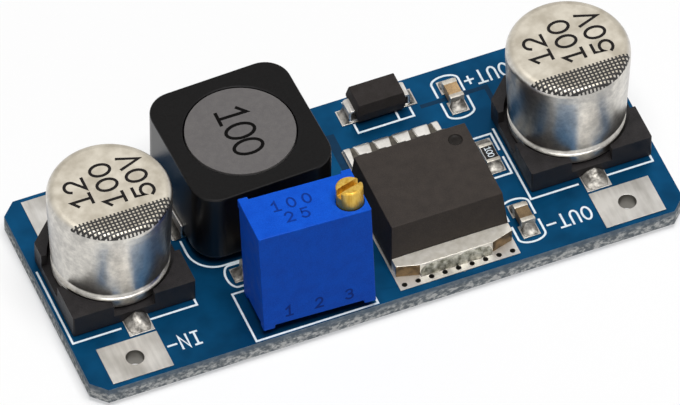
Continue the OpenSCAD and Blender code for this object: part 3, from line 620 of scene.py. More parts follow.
# Solder drawn up a hot tab: dull grey with a green cast from flux
CREPT_FINISH = Metal(
    "Crept_dull_solder", ("#6C6B5D", "#CBC8BA"), patch_mm=0.5, relief_mm=0.008,
    roughness=(0.42, 0.55),
)
# Solder over a wide flat foot: nearly even, bright satin
FOOT_FINISH = Metal(
    "Flowed_bright_solder", ("#DAD6CF", "#F4F0EA"), patch_mm=0.9, relief_mm=0.004,
    roughness=(0.36, 0.46),
)
# Drawn aluminium: matt pressed top, and a brighter wall with soft dents from the draw
CAN_FINISH = DrawnCan("Deep_drawn_aluminium")
# Glass-filled nylon: near black with a dusty sheen
BASE_FINISH = Moulding(
    "Moulded_black_nylon", ("#1A1819", "#2B2829"), patch_mm=0.9, grain_mm=0.1,
    relief_mm=0.01, roughness=(0.38, 0.55), specular=0.22,
)
# Filled epoxy: warm dark grey, finely pitted from the mould
EPOXY_FINISH = Moulding(
    "Moulded_filled_epoxy", ("#322D2A", "#3F3935"), patch_mm=0.8, grain_mm=0.09,
    relief_mm=0.012, roughness=(0.5, 0.66), specular=0.13,
)
# Ejector mark in epoxy: polished, and darker than the body, partly its own tone and partly painted
# shade in the recess
DIMPLE_SHADE_FINISH = Moulding(
    "Polished_epoxy_mark_painted_shade", ("#1C1917", "#282421"), patch_mm=0.3, grain_mm=0.06,
    relief_mm=0.004, roughness=(0.3, 0.42), specular=0.12,
)
# Black epoxy of a small package: blacker than the regulator's
DIODE_FINISH = Moulding(
    "Moulded_black_epoxy", ("#2A2624", "#353130"), patch_mm=0.6, grain_mm=0.07,
    relief_mm=0.01, roughness=(0.5, 0.66), specular=0.1,
)
# Ferrite under a black coat: dull top, sides that mirror the board softly
SHIELD_FINISH = CoatedFerrite("Coated_black_ferrite")
# Ground ferrite: even mid grey without gloss
CORE_FINISH = Moulding(
    "Ground_grey_ferrite", ("#636060", "#6D6A69"), patch_mm=0.5, grain_mm=0.08,
    relief_mm=0.004, roughness=(0.6, 0.72), specular=0.15,
)
# Enamelled copper wire: warm brown with a lacquer gloss
WIRE_FINISH = Metal(
    "Enamelled_copper_wire", ("#7A3E1C", "#A85C2C"), patch_mm=0.4, relief_mm=0.02,
    roughness=(0.25, 0.4),
)
# Glass-filled polyester: saturated blue, satin, faintly cloudy
HOUSING_FINISH = Moulding(
    "Moulded_blue_polyester", ("#0B4DC3", "#135AD5"), patch_mm=1.1, grain_mm=0.11,
    relief_mm=0.01, roughness=(0.4, 0.55), specular=0.09,
)
# Cast epoxy potting: dark blue, glassy
POTTING_FINISH = Moulding(
    "Cast_potting_resin", ("#121B40", "#1D2A5C"), patch_mm=1.5, grain_mm=0.5,
    relief_mm=0.01, roughness=(0.2, 0.35),
)
# Marks pressed into the housing: a darker blue
MARK_FINISH = Moulding(
    "Pressed_blue_marking", ("#062C80", "#0B3796"), patch_mm=0.4, grain_mm=0.1,
    relief_mm=0.004, roughness=(0.5, 0.6), specular=0.1,
)
# Turned brass: warm yellow; its tool marks are drawn coarser than the real 0.05 mm, so that they show
BRASS_FINISH = Metal(
    "Turned_brass", ("#BC9134", "#E0BD60"), patch_mm=0.35, relief_mm=0.008,
    roughness=(0.38, 0.52), stretch=(1, 1, 0.2),
)
# Tinned copper: pale satin, with brown metal where the ends were cut after tinning
TAB_FINISH = CutCopperTab("Tinned_copper_tab")
# Sintered barium titanate: cream tan and satin
PALE_CERAMIC_FINISH = Moulding(
    "Sintered_pale_ceramic", ("#977B5A", "#C9A97D"), patch_mm=0.7, grain_mm=0.07,
    relief_mm=0.004, roughness=(0.35, 0.5), specular=0.25,
)
# Sintered barium titanate of another batch: browner
BROWN_CERAMIC_FINISH = Moulding(
    "Sintered_brown_ceramic", ("#64523C", "#867153"), patch_mm=0.7, grain_mm=0.07,
    relief_mm=0.004, roughness=(0.35, 0.5), specular=0.25,
)
# Sintered alumina: off-white, fine grained
ALUMINA_FINISH = Moulding(
    "Sintered_alumina", ("#DAD7D0", "#EFECE6"), patch_mm=0.5, grain_mm=0.05,
    relief_mm=0.004, roughness=(0.45, 0.6),
)
# Fired glass glaze: black and shiny
GLAZE_FINISH = Moulding(
    "Fired_black_glaze", ("#121111", "#1E1C1C"), patch_mm=0.4, grain_mm=0.06,
    relief_mm=0.002, roughness=(0.3, 0.45), specular=0.25,
)
# Screen-printed epoxy ink: white with a cold tint, slightly uneven cover
SILK_FINISH = Moulding(
    "Screen_printed_white_ink", ("#CFDDE6", "#EDF4F8"), patch_mm=0.5, grain_mm=0.08,
    relief_mm=0.003, roughness=(0.5, 0.65), specular=0.2,
)
# Ink soaked into ground ferrite: blacker than print on metal, without gloss
STAMP_FINISH = Moulding(
    "Stamped_black_ink", ("#090808", "#0E0D0C"), patch_mm=0.4, grain_mm=0.06,
    relief_mm=0.002, roughness=(0.6, 0.72), specular=0.04,
)
# Pad-printed ink: black and matt
PRINT_FINISH = Moulding(
    "Pad_printed_black_ink", ("#12100F", "#1B1817"), patch_mm=0.4, grain_mm=0.06,
    relief_mm=0.002, roughness=(0.5, 0.65), specular=0.12,
)


# Frame helpers

# Rounded edges: points within the gap are joined, faces within the flat angle count as one face,
# and only edges sharper than the edge angle are rounded
WELD_GAP_MM = 0.002
FLAT_DEG = 1
EDGE_DEG = 32
EDGE_STEPS = 3
FLAT_WEIGHT = 60


def box_mm(node: str) -> tuple[Vector, Vector]:
    """Lowest and highest corner of a CAD node in millimetres."""
    low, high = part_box(node)
    return low / MM, high / MM


def top_mm(node: str) -> Vector:
    """Middle of the top of a CAD node's box in millimetres."""
    low, high = box_mm(node)
    return Vector(((low.x + high.x) / 2, (low.y + high.y) / 2, high.z))


def dress(node: str, finish: Finish, edge_mm: float = 0.0, smooth: bool = False) -> None:
    """Gives a CAD node its finish and, if asked, rounded edges.

    Args:
        node: Name of the CAD node.
        finish: Finish of its whole surface.
        edge_mm: Radius of its edges; zero leaves them sharp.
        smooth: Whether a node without rounded edges is shaded smooth.
    """
    solid = frame["nodes"][node]
    solid.data.materials.clear()
    solid.data.materials.append(finish.material())
    if smooth or edge_mm:
        solid.data.shade_smooth()
    if not edge_mm:
        return
    weld = solid.modifiers.new("weld", "WELD")
    weld.merge_threshold = WELD_GAP_MM * MM
    flats = solid.modifiers.new("flats", "DECIMATE")
    flats.decimate_type = "DISSOLVE"
    flats.angle_limit = math.radians(FLAT_DEG)
    edge = solid.modifiers.new("edge", "BEVEL")
    edge.width = edge_mm * MM
    edge.segments = EDGE_STEPS
    edge.limit_method = "ANGLE"
    edge.angle_limit = math.radians(EDGE_DEG)
    edge.use_clamp_overlap = True
    normals = solid.modifiers.new("normals", "WEIGHTED_NORMAL")
    normals.weight = FLAT_WEIGHT


def piece(name: str, shape: Mesh, finish: Finish, smooth: bool = False) -> Piece:
    """Turns a finished mesh into a piece that rides on the module.

    Args:
        name: Name of the piece.
        shape: Mesh in metres, in the CAD frame; it is freed here.
        finish: Finish of its surface.
        smooth: Whether it is shaded smooth.

    Returns:
        The new object.
    """
    bmesh.ops.recalc_face_normals(shape, faces=shape.faces)
    mesh = bpy.data.meshes.new(name)
    shape.to_mesh(mesh)
    shape.free()
    if smooth:
        mesh.shade_smooth()
    mesh.materials.append(finish.material())
    made = bpy.data.objects.new(name, mesh)
    bpy.context.scene.collection.objects.link(made)
    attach(made, MODULE)
    return made


# Strokes and letters

# Keeps the point of a sharp corner short; a smaller limit lets it run further out
MITRE_LIMIT = 0.4
# Crossing strokes differ in thickness by this much, so that no two tops share a plane
LAYER = 0.002


def arc(middle: Point, radii: Point, start: float, end: float, steps: int = 14) -> Path:
    """Points of an elliptic arc.

    Args:
        middle: Middle of the ellipse.
        radii: Its half width and half height.
        start: First angle in degrees.
        end: Last angle in degrees.
        steps: Number of chords.

    Returns:
        The points from start to end.
    """
    turns = [math.radians(start + (end - start) * i / steps) for i in range(steps + 1)]
    return [(middle[0] + radii[0] * math.cos(t), middle[1] + radii[1] * math.sin(t)) for t in turns]


def skin(shape: Mesh, rings: list[Ring], ends: Ends = Ends.SHUT) -> None:
    """Joins a row of equal rings into one surface.

    Args:
        shape: Mesh that holds the rings' points.
        rings: Rings of points in order.
        ends: What happens at the first and the last ring.
    """
    after = rings[1:] + (rings[:1] if ends is Ends.LOOP else [])
    for one, two in zip(rings, after):
        for a in range(len(one)):
            b = (a + 1) % len(one)
            shape.faces.new((one[a], one[b], two[b], two[a]))
    if ends is not Ends.LOOP:
        shape.faces.new(rings[0])
    if ends is Ends.SHUT:
        shape.faces.new(rings[-1])


def ribbon(
    shape: Mesh, path: Path, width: float, thick: float, place: Matrix, closed: bool = False,
) -> None:
    """Adds a flat closed strip along a path to a mesh.

    Args:
        shape: Mesh to add to.
        path: Points in millimetres, in the strip's own plane.
        width: Width of the strip in millimetres.
        thick: Thickness of the strip in millimetres.
        place: Matrix from the plane, in millimetres, to the CAD frame in metres.
        closed: Whether the last point joins the first.
    """
    points = [Vector(p) for p in path]
    last = len(points) - 1
    rings = []
    for i, here in enumerate(points):
        back = points[i - 1] if closed or i else here
        ahead = points[(i + 1) % len(points)] if closed or i < last else here
        before = (here - back).normalized() if here != back else (ahead - here).normalized()
        after = (ahead - here).normalized() if here != ahead else before
        along = (before + after).normalized()
        across = Vector((-along.y, along.x))
        spread = width / 2 / max(MITRE_LIMIT, abs(across.dot(Vector((-before.y, before.x)))))
        cap = Vector((0, 0))
        if not closed and i in (0, last):
            cap = along * (width / 2 if i else -width / 2)
        left, right = (here + cap + across * side * spread for side in (1, -1))
        rings.append([
            shape.verts.new(place @ Vector((spot.x, spot.y, z)))
            for spot, z in ((left, 0), (right, 0), (right, thick), (left, thick))
        ])
    skin(shape, rings, Ends.LOOP if closed else Ends.SHUT)


def plane_at(origin: Vector, right: Vector, up: Vector) -> Matrix:
    """Matrix of a drawing plane.

    Args:
        origin: Its origin in millimetres, in the CAD frame.
        right: Direction in which letters follow each other.
        up: Direction of the letters' tops.

    Returns:
        Matrix from millimetres in the plane to metres in the CAD frame.
    """
    out = right.cross(up)
    turn = Matrix((right, up, out)).transposed().to_4x4()
    return Matrix.Scale(MM, 4) @ Matrix.Translation(origin) @ turn


def board_face() -> Matrix:
    """Drawing plane on the board's top, along the CAD frame's own axes."""
    return plane_at(Z_AXIS * top_mm("circuit_board").z, X_AXIS, Y_AXIS)


# Characters are drawn in a field of this size; a path that ends where it starts is a loop
GLYPH_WIDTH = 0.6
GLYPH_HEIGHT = 1.0
SAME_POINT = 1e-6
ROUND = arc((0.3, 0.5), (0.3, 0.5), 90, 450, 24)
GLYPHS: dict[str, list[Path]] = {
    "0": [ROUND],
    "1": [[(0.06, 0.76), (0.32, 1), (0.32, 0)], [(0.06, 0), (0.56, 0)]],
    "2": [arc((0.29, 0.7), (0.27, 0.3), 165, -40) + [(0.02, 0), (0.58, 0)]],
    "3": [
        arc((0.28, 0.76), (0.25, 0.24), 150, -90),
        arc((0.28, 0.27), (0.3, 0.27), 90, -150),
    ],
    "5": [[(0.54, 1), (0.1, 1), (0.05, 0.54)] + arc((0.27, 0.33), (0.31, 0.33), 130, -150)],
    "I": [[(0.3, 0), (0.3, 1)], [(0.1, 0), (0.5, 0)], [(0.1, 1), (0.5, 1)]],
    "N": [[(0.04, 0), (0.04, 1), (0.56, 0), (0.56, 1)]],
    "O": [ROUND],
    "T": [[(0, 1), (0.6, 1)], [(0.3, 1), (0.3, 0)]],
    "U": [[(0.04, 1)] + arc((0.3, 0.34), (0.26, 0.34), 180, 360) + [(0.56, 1)]],
    "V": [[(0, 1), (0.3, 0), (0.6, 1)]],
    "+": [[(0.02, 0.5), (0.58, 0.5)], [(0.3, 0.22), (0.3, 0.78)]],
    "-": [[(0.02, 0.5), (0.58, 0.5)]],
}


@dataclass(frozen=True)
class Lettering:
    """Plain drawn characters of one size, in millimetres."""

    height: float
    pitch: float
    stroke: float
    thick: float = 0.01
    widen: float = 1.0

    def draw(self, shape: Mesh, text: str, place: Matrix) -> None:
        """Adds one line of characters to a mesh, centred on the plane's origin.

        Args:
            shape: Mesh to add to.
            text: The characters.
            place: Matrix from the line's plane, in millimetres, to the CAD frame in metres.
        """
        wide = self.height * self.widen
        for i, letter in enumerate(text):
            start = (i - (len(text) - 1) / 2) * self.pitch
            for layer, path in enumerate(GLYPHS[letter]):
                closed = math.dist(path[0], path[-1]) < SAME_POINT
                moved = [
                    (start + (x - GLYPH_WIDTH / 2) * wide, (y - GLYPH_HEIGHT / 2) * self.height)
                    for x, y in (path[:-1] if closed else path)
                ]
                ribbon(shape, moved, self.stroke, self.thick + layer * LAYER, place, closed)


# Sub-assemblies; their sizes are in millimetres


class SubAssembly:
    """Part of the module that dresses its CAD nodes and adds its own meshes."""

    def dress(self) -> None:
        """Gives the CAD nodes their finishes."""

    def build(self) -> list[Piece]:
        """Makes the meshes that the CAD nodes lack."""
        return []


@dataclass
class Board(SubAssembly):
    """Laminate with its tinned lands and the gaps between its copper areas."""

    edge: float = 0.05
    land_edge: float = 0.02
    across_gap: float = 0.4
    aside_gap: float = 0.8
    gap_room: float = 0.9
    gap_thick: float = 0.004

    def dress(self) -> None:
        """Gives laminate and lands their finishes."""
        dress("circuit_board", BOARD_FINISH, self.edge)
        for node in ("terminal_lands", "component_lands", "regulator_land", "trimmer_lands"):
            dress(node, LAND_FINISH, self.land_edge)

    def build(self) -> list[Piece]:
        """Draws the gaps between the copper areas, which show through the mask.

        Returns:
            The new piece.
        """
        room = self.gap_room
        diode_low, diode_high = box_mm("diode_leads")
        base_low, base_high = box_mm("output_capacitor_base")
        leads = box_mm("regulator_leads")[0]
        chip_y = top_mm("rear_ceramic_body").y
        corner = base_low.x + room
        across = [(diode_high.x + room, chip_y), (corner, chip_y), (corner, base_high.y - room)]
        aside = leads.x - self.aside_gap / 2
        back = diode_low.y - room
        along = [(box_mm("inductor_shield")[1].x - room, back), (aside, back), (aside, leads.y)]
        shape = bmesh.new()
        for path, width in ((across, self.across_gap), (along, self.aside_gap)):
            ribbon(shape, path, width, self.gap_thick, board_face())
        return [piece("copper_gaps", shape, GAP_FINISH)]


@dataclass
class SilkScreen(SubAssembly):
    """White outlines and terminal names on the board."""

    line: float = 0.18
    thick: float = 0.012
    layers: int = 3
    letters: Lettering = Lettering(1.3, 1.02, stroke=0.18, thick=0.012, widen=0.92)
    # Words with the place of their last character, which is the sign
    names: tuple[tuple[str, float, float], ...] = (
        ("IN-", -18.07, -8.12), ("IN+", -18.07, 8.45), ("OUT-", 14.76, -8.0), ("OUT+", 14.45, 8.45),
    )
    cap_half: float = 5.32
    cap_front: float = -5.0
    cap_back: float = 2.9
    cap_gap: float = 1.26
    cap_shift: float = -0.22
    cap_stub: float = 0.8
    inductor_half: float = 6.3
    inductor_corner: float = 2.3
    inductor_gap: float = 2.75
    inductor_rim: float = 0.3
    # Left side, cathode line and right side from the diode's middle
    diode_x: Triple = (-2.3, 1.32, 2.55)
    diode_y: Span = (6.65, 10.08)
    diode_gap: float = 1.0
    ceramic_half: float = 1.16
    ceramic_straight: float = 1.7
    ceramic_crown: float = 0.62
    ceramic_gap: float = 0.38
    resistor_x: Span = (-0.45, 1.03)
    resistor_reach: float = 2.22
    resistor_gap: float = 0.45
    trimmer_x: Span = (-11.7, -1.23)
    trimmer_y: Span = (-10.29, -5.09)

    def capacitor(self, x: float) -> list[Path]:
        """Outline round a capacitor base, open at its front lead.

        Args:
            x: Middle of the outline.

        Returns:
            The strokes.
        """
        left, right = x - self.cap_half, x + self.cap_half
        front = self.cap_front
        return [
            [(left, self.cap_back), (left, front), (x - self.cap_gap, front)],
            [(x + self.cap_gap, front), (right, front), (right, front + self.cap_stub)],
        ]

    def inductor(self) -> list[Path]:
        """Rounded outline round the inductor, open at its clips and at the board's edge.

        Returns:
            The strokes.
        """
        c = top_mm("inductor_shield")
        half, r, gap = self.inductor_half, self.inductor_corner, self.inductor_gap
        left, right, front = c.x - half, c.x + half, c.y - half
        back = box_mm("circuit_board")[1].y - self.inductor_rim
        bow = [(left, c.y - gap)]
        bow += arc((left + r, front + r), (r, r), 180, 270)
        bow += arc((right - r, front + r), (r, r), 270, 360)
        bow += [(right, c.y - gap)]
        return [bow] + [[(x, c.y + gap), (x, back)] for x in (left, right)]

    def diode(self) -> list[Path]:
        """Outline round the diode with a line at its cathode, open at its lands.

        Returns:
            The strokes.
        """
        c = top_mm("diode_body")
        left, cathode, right = (c.x + x for x in self.diode_x)
        front, back = self.diode_y
        strokes = []
        for y, side in ((front, -1), (back, 1)):
            end = c.y + side * self.diode_gap
            strokes.append([(left, end), (left, y), (right, y), (right, end)])
        return strokes + [[(cathode, front), (cathode, back)]]

    def ceramic(self, node: str, along_x: bool = False) -> list[Path]:
        """Two facing brackets with arched ends round a ceramic chip.

        Args:
            node: Name of the chip's CAD node.
            along_x: Whether the chip lies along X.

        Returns:
            The strokes.
        """
        c = top_mm(node)
        half, gap = self.ceramic_half, self.ceramic_gap
        strokes = []
        for s in (1, -1):
            bow = arc((0, s * self.ceramic_straight), (half, self.ceramic_crown), 0, s * 180)
            strokes.append([(half, s * gap), *bow, (-half, s * gap)])
        if along_x:
            strokes = [[(y, x) for x, y in path] for path in strokes]
        return [[(c.x + x, c.y + y) for x, y in path] for path in strokes]

    def resistor(self) -> list[Path]:
        """Two facing brackets round the resistor.

        Returns:
            The strokes.
        """
        c = top_mm("resistor_body")
        near, far = self.resistor_x
        corners = ((near, self.resistor_reach), (far, self.resistor_reach), (far, self.resistor_gap))
        return [[(c.x + x, c.y + s * y) for x, y in corners] for s in (1, -1)]

    def build(self) -> list[Piece]:
        """Draws all outlines as one piece and the terminal names as another.

        Returns:
            Both pieces.
        """
        strokes: list[Path] = []
        for side in ("input", "output"):
            strokes += self.capacitor(top_mm(f"{side}_capacitor_base").x + self.cap_shift)
        strokes += self.inductor() + self.diode() + self.resistor()
        strokes += self.ceramic("rear_ceramic_body") + self.ceramic("front_ceramic_body")
        strokes += self.ceramic("middle_ceramic_body", along_x=True)
        outlines = bmesh.new()
        for i, path in enumerate(strokes):
            ribbon(outlines, path, self.line, self.thick + i % self.layers * LAYER, board_face())
        (left, right), (front, back) = self.trimmer_x, self.trimmer_y
        ring = [(left, front), (right, front), (right, back), (left, back)]
        ribbon(outlines, ring, self.line, self.thick, board_face(), closed=True)
        names = bmesh.new()
        for text, sign_x, y in self.names:
            x = sign_x + (len(text) - 1) / 2 * self.letters.pitch
            spot = Vector((x, y, top_mm("circuit_board").z))
            self.letters.draw(names, text, plane_at(spot, -X_AXIS, -Y_AXIS))
        return [
            piece("board_outlines", outlines, SILK_FINISH),
            piece("terminal_names", names, SILK_FINISH),
        ]


@dataclass
class CanCapacitor(SubAssembly):
    """Aluminium can capacitor on its moulded base."""

    side: str
    base_edge: float = 0.12
    lead_edge: float = 0.03
    lines: tuple[str, str, str] = ("12", "100", "50V")
    line_step: float = 2.5
    letters: Lettering = Lettering(1.66, 1.6, stroke=0.26, widen=1.16)
    print_y: float = 0.47

    def dress(self) -> None:
        """Gives can, base and leads their finishes."""
        dress(f"{self.side}_capacitor_can", CAN_FINISH, smooth=True)
        dress(f"{self.side}_capacitor_base", BASE_FINISH, self.base_edge)
        dress(f"{self.side}_capacitor_leads", LEAD_FINISH, self.lead_edge)

    def build(self) -> list[Piece]:
        """Prints plain numbers on the can's top.

        Returns:
            The new piece.
        """
        top = top_mm(f"{self.side}_capacitor_can")
        shape = bmesh.new()
        for i, text in enumerate(self.lines, start=-1):
            spot = top + Vector((i * self.line_step, self.print_y, 0))
            self.letters.draw(shape, text, plane_at(spot, Y_AXIS, -X_AXIS))
        return [piece(f"{self.side}_can_numbers", shape, PRINT_FINISH)]


@dataclass
class Inductor(SubAssembly):
    """Shielded inductor with a grey core disc in its top."""

    shield_edge: float = 0.16
    core_edge: float = 0.04
    base_edge: float = 0.06
    clip_edge: float = 0.04
    number: str = "100"
    letters: Lettering = Lettering(2.4, 1.75, stroke=0.29)

    def dress(self) -> None:
        """Gives shield, core, winding, base and clips their finishes."""
        dress("inductor_shield", SHIELD_FINISH, self.shield_edge)
        dress("inductor_core", CORE_FINISH, self.core_edge)
        dress("inductor_winding", WIRE_FINISH)
        dress("inductor_base", BASE_FINISH, self.base_edge)
        dress("inductor_clips", LEAD_FINISH, self.clip_edge)

    def build(self) -> list[Piece]:
        """Prints a plain number on the core disc.

        Returns:
            The new piece.
        """
        shape = bmesh.new()
        self.letters.draw(shape, self.number, plane_at(top_mm("inductor_core"), -Y_AXIS, X_AXIS))
        return [piece("core_number", shape, STAMP_FINISH)]


@dataclass
class Trimmer(SubAssembly):
    """Leaning trimmer with its turning brass screw."""

    housing_edge: float = 0.1
    screw_edge: float = 0.05
    # The screw's distance from the housing's side and front
    screw_side: float = 1.27
    screw_front: float = 1.55
    width: float = 9.53
    depth: float = 4.83
    height: float = 9.75
    pins: tuple[str, str, str] = ("1", "2", "3")
    pin_pitch: float = 2.54
    pin_mark_up: float = 1.2
    pin_letters: Lettering = Lettering(1.0, 1.0, stroke=0.17)
    top_lines: tuple[str, str] = ("100", "25")
    top_step: float = 1.5
    top_shift: float = 0.9
    top_letters: Lettering = Lettering(1.05, 1.3, stroke=0.17)

    def dress(self) -> None:
        """Gives housing, potting, pins and screw their finishes."""
        dress("trimmer_housing", HOUSING_FINISH, self.housing_edge)
        dress("trimmer_potting", POTTING_FINISH)
        dress("trimmer_pins", LEAD_FINISH)
        dress("trimmer_screw", BRASS_FINISH, self.screw_edge)

    def build(self) -> list[Piece]:
        """Marks the pin numbers on the front and plain numbers on the top.

        Returns:
            The new piece.
        """
        joint = frame["joints"][0]
        up = Vector(joint["axis"]).normalized()
        seat = Vector(joint["pos_m"]) / MM
        turn = math.atan2(-up.x, up.y)
        right = Vector((math.cos(turn), math.sin(turn), 0))
        back = up.cross(right)
        middle = seat + right * (self.screw_side - self.width / 2)
        shape = bmesh.new()
        foot = middle - back * self.screw_front - up * (self.height - self.pin_mark_up)
        for i, text in enumerate(self.pins, start=-1):
            spot = foot + right * i * self.pin_pitch
            self.pin_letters.draw(shape, text, plane_at(spot, right, up))
        crown = middle + back * (self.depth / 2 - self.screw_front) - right * self.top_shift
        for i, text in enumerate(self.top_lines):
            spot = crown + back * (0.5 - i) * self.top_step
            self.top_letters.draw(shape, text, plane_at(spot, right, back))
        return [piece("housing_marks", shape, MARK_FINISH)]


@dataclass
class Regulator(SubAssembly):
    """Power regulator with its tab, leads and the solder that holds them."""

    body_edge: float = 0.16
    tab_edge: float = 0.03
    lead_edge: float = 0.05
    # Solder drawn up the tab
    bead_steps: tuple[int, int] = (120, 14)
    bead_half: float = 3.12
    bead_square: int = 8
    bead_step: float = 0.95
    bead_wobble: float = 2.0
    wobble_rate: float = 0.6
    wobble_row: float = 0.4
    bead_over: float = 0.02
    bead_low: float = 0.1
    bead_bulge: float = 0.12
    bulge_start: float = 0.12
    # Even, waved and random share of the bulge
    bulge_mix: Triple = (0.8, 0.45, 0.5)
    bulge_rates: Span = (1.4, 1.5)
    bulge_row: float = 7.7
    bead_reach: float = 0.2
    reach_fall: float = 2.2
    bead_wrap: float = 0.1
    wrap_curl: int = 4
    bead_skin: float = 0.012
    bead_root: float = 0.15
    # Flat solder between the leads' feet
    lead_count: int = 5
    lead_pitch: float = 1.7
    pillow_steps: tuple[int, int] = (20, 18)
    pillow_h: float = 0.62
    pillow_back: float = 0.22
    pillow_front: float = 2.1
    pillow_rim: float = 0.12
    pillow_square: tuple[int, int] = (10, 20)
    pillow_noise: float = 0.04
    pillow_rate: float = 1.3
    pillow_row: float = 2.2
    # Half width that a lead's strip leaves bare at its heel and at its tip
    strip_half: Span = (0.4, 0.06)
    # Moulding mark, with its rings as share of the radius and height above the floor
    mark_r: float = 0.57
    mark_inset: Span = (1.6, 1.6)
    mark_deep: float = 0.14
    mark_rings: tuple[Span, ...] = ((0.02, 0.0), (0.6, 0.01), (0.9, 0.05), (1.0, 0.12))
    mark_steps: int = 40

    def dress(self) -> None:
        """Gives body, tab and leads their finishes."""
        dress("regulator_body", EPOXY_FINISH, self.body_edge)
        dress("regulator_tab", TAB_FINISH, self.tab_edge)
        # The leads' dark grey is partly painted shade and painted reflection under the body
        dress("regulator_leads", TARNISH_AND_SHADE_STRIP_FINISH, self.lead_edge)

    def tab_beads(self) -> Mesh:
        """Row of soft solder lumps drawn up the tab's front face.

        Returns:
            The mesh.
        """
        low, high = box_mm("regulator_tab")
        middle = (low.x + high.x) / 2
        across, along = self.bead_steps
        even, waved, random = self.bulge_mix
        rate_x, rate_t = self.bulge_rates
        shape = bmesh.new()
        rings = []
        for i in range(across + 1):
            x = -self.bead_half + 2 * self.bead_half * i / across
            end = math.sqrt(max(0.0, 1 - (x / self.bead_half) ** self.bead_square))
            wobble = self.bead_wobble * noise.noise(Vector((x * self.wobble_rate, self.wobble_row, 0)))
            wave = math.cos(2 * math.pi * x / self.bead_step + wobble)
            rise = (high.z - low.z + self.bead_over) * (self.bead_low + (1 - self.bead_low) * end)
            ring = []
            for j in range(along + 1):
                t = j / along
                swell = math.sin(math.pi * (self.bulge_start + (1 - self.bulge_start) * t))
                rough = noise.noise(Vector((x * rate_x, t * rate_t, self.bulge_row)))
                out = self.bead_bulge * swell * (even + waved * wave + random * rough)
                out += self.bead_reach * (1 - t) ** self.reach_fall
                out -= self.bead_wrap * t ** self.wrap_curl
                spot = Vector((middle + x, low.y - out * end - self.bead_skin, low.z + rise * t))
                ring.append(shape.verts.new(spot * MM))
            ring.append(shape.verts.new(Vector((middle + x, low.y + self.bead_root, low.z)) * MM))
            rings.append(ring)
        skin(shape, rings)
        return shape

    def lead_pillows(self) -> Mesh:
        """Flat bright solder between the leads' feet, which closes in on each lead towards its tip.

        Returns:
            The mesh.
        """
        low, high = box_mm("regulator_leads")
        middle = (low.x + high.x) / 2
        back, front = high.y + self.pillow_back, high.y - self.pillow_front
        rim = self.lead_pitch * self.lead_count / 2 - self.pillow_rim
        across, along = self.pillow_steps
        square_t, square_s = self.pillow_square
        shape = bmesh.new()
        for gap in range(self.lead_count + 1):
            lead = (gap - (self.lead_count + 1) / 2) * self.lead_pitch
            rings = []
            for j in range(along + 1):
                t = j / along
                y = front + (back - front) * t
                bare = self.strip_half[0] * (1 - t) + self.strip_half[1] * t
                start = max(-rim, lead + bare)
                end = min(rim, lead + self.lead_pitch - bare)
                ring = []
                for i in range(across + 1):
                    s = 2 * i / across - 1
                    x = (start + end + s * (end - start)) / 2
                    rough = noise.noise(Vector((x, y * self.pillow_rate, self.pillow_row)))
                    z = self.pillow_h * math.sqrt((1 - t ** square_t) * (1 - s ** square_s))
                    z *= 1 + self.pillow_noise * rough
                    ring.append(shape.verts.new(Vector((middle + x, y, low.z + z)) * MM))
                for x in (end, start):
                    ring.append(shape.verts.new(Vector((middle + x, y, low.z)) * MM))
                rings.append(ring)
            skin(shape, rings)
        return shape

    def mark(self) -> Mesh:
        """Dished floor of the round moulding mark in the body's top.

        Returns:
            The mesh.
        """
        high = box_mm("regulator_body")[1]
        middle = high - Vector((*self.mark_inset, self.mark_deep))
        shape = bmesh.new()
        rings = []
        for share, lift in self.mark_rings:
            radius = share * self.mark_r
            outline = arc((0, 0), (radius, radius), 0, 360, self.mark_steps)[:-1]
            rings.append([shape.verts.new((middle + Vector((x, y, lift))) * MM) for x, y in outline])
        skin(shape, rings, Ends.DISH)
        return shape

    def build(self) -> list[Piece]:
        """Makes the moulding mark, darkened partly with painted shade, and the solder at the tab and at
        the leads.

        Returns:
            The new pieces.
        """
        return [
            # Dark dish in the mark's recess: partly polished epoxy, partly painted shade
            piece("shaded_moulding_mark", self.mark(), DIMPLE_SHADE_FINISH),
            piece("tab_solder_beads", self.tab_beads(), CREPT_FINISH, smooth=True),
            piece("lead_solder_pillows", self.lead_pillows(), FOOT_FINISH, smooth=True),
        ]


@dataclass
class SmallParts(SubAssembly):
    """Diode and chip parts."""

    body_edge: float = 0.07
    chip_edge: float = 0.04
    end_edge: float = 0.03
    glaze_edge: float = 0.01
    number: str = "100"
    letters: Lettering = Lettering(0.5, 0.36, stroke=0.07, thick=0.012)

    def dress(self) -> None:
        """Gives the bodies, leads and metal ends their finishes."""
        dress("diode_body", DIODE_FINISH, self.body_edge)
        dress("diode_leads", LEAD_FINISH, self.end_edge)
        ceramics = {
            "rear": PALE_CERAMIC_FINISH, "front": BROWN_CERAMIC_FINISH, "middle": BROWN_CERAMIC_FINISH,
        }
        for place, finish in ceramics.items():
            dress(f"{place}_ceramic_body", finish, self.chip_edge)
            dress(f"{place}_ceramic_ends", END_FINISH, self.end_edge)
        dress("resistor_body", ALUMINA_FINISH, self.chip_edge)
        dress("resistor_glaze", GLAZE_FINISH, self.glaze_edge)
        dress("resistor_ends", END_FINISH, self.end_edge)

    def build(self) -> list[Piece]:
        """Prints a plain number on the resistor's glaze.

        Returns:
            The new piece.
        """
        shape = bmesh.new()
        self.letters.draw(shape, self.number, plane_at(top_mm("resistor_glaze"), -Y_AXIS, X_AXIS))
        return [piece("resistor_number", shape, SILK_FINISH)]


@dataclass(frozen=True)
class JointForm:
    """Form of an uneven solder joint that leans on an upright face, in millimetres.

    A fall above 1 makes it hollow, more so the higher it is. With an edge of 0.5 its sides are
    round, and above 1 they run out thinly.
    """

    half: float
    reach: float
    height: float
    fall: float
    edge: float


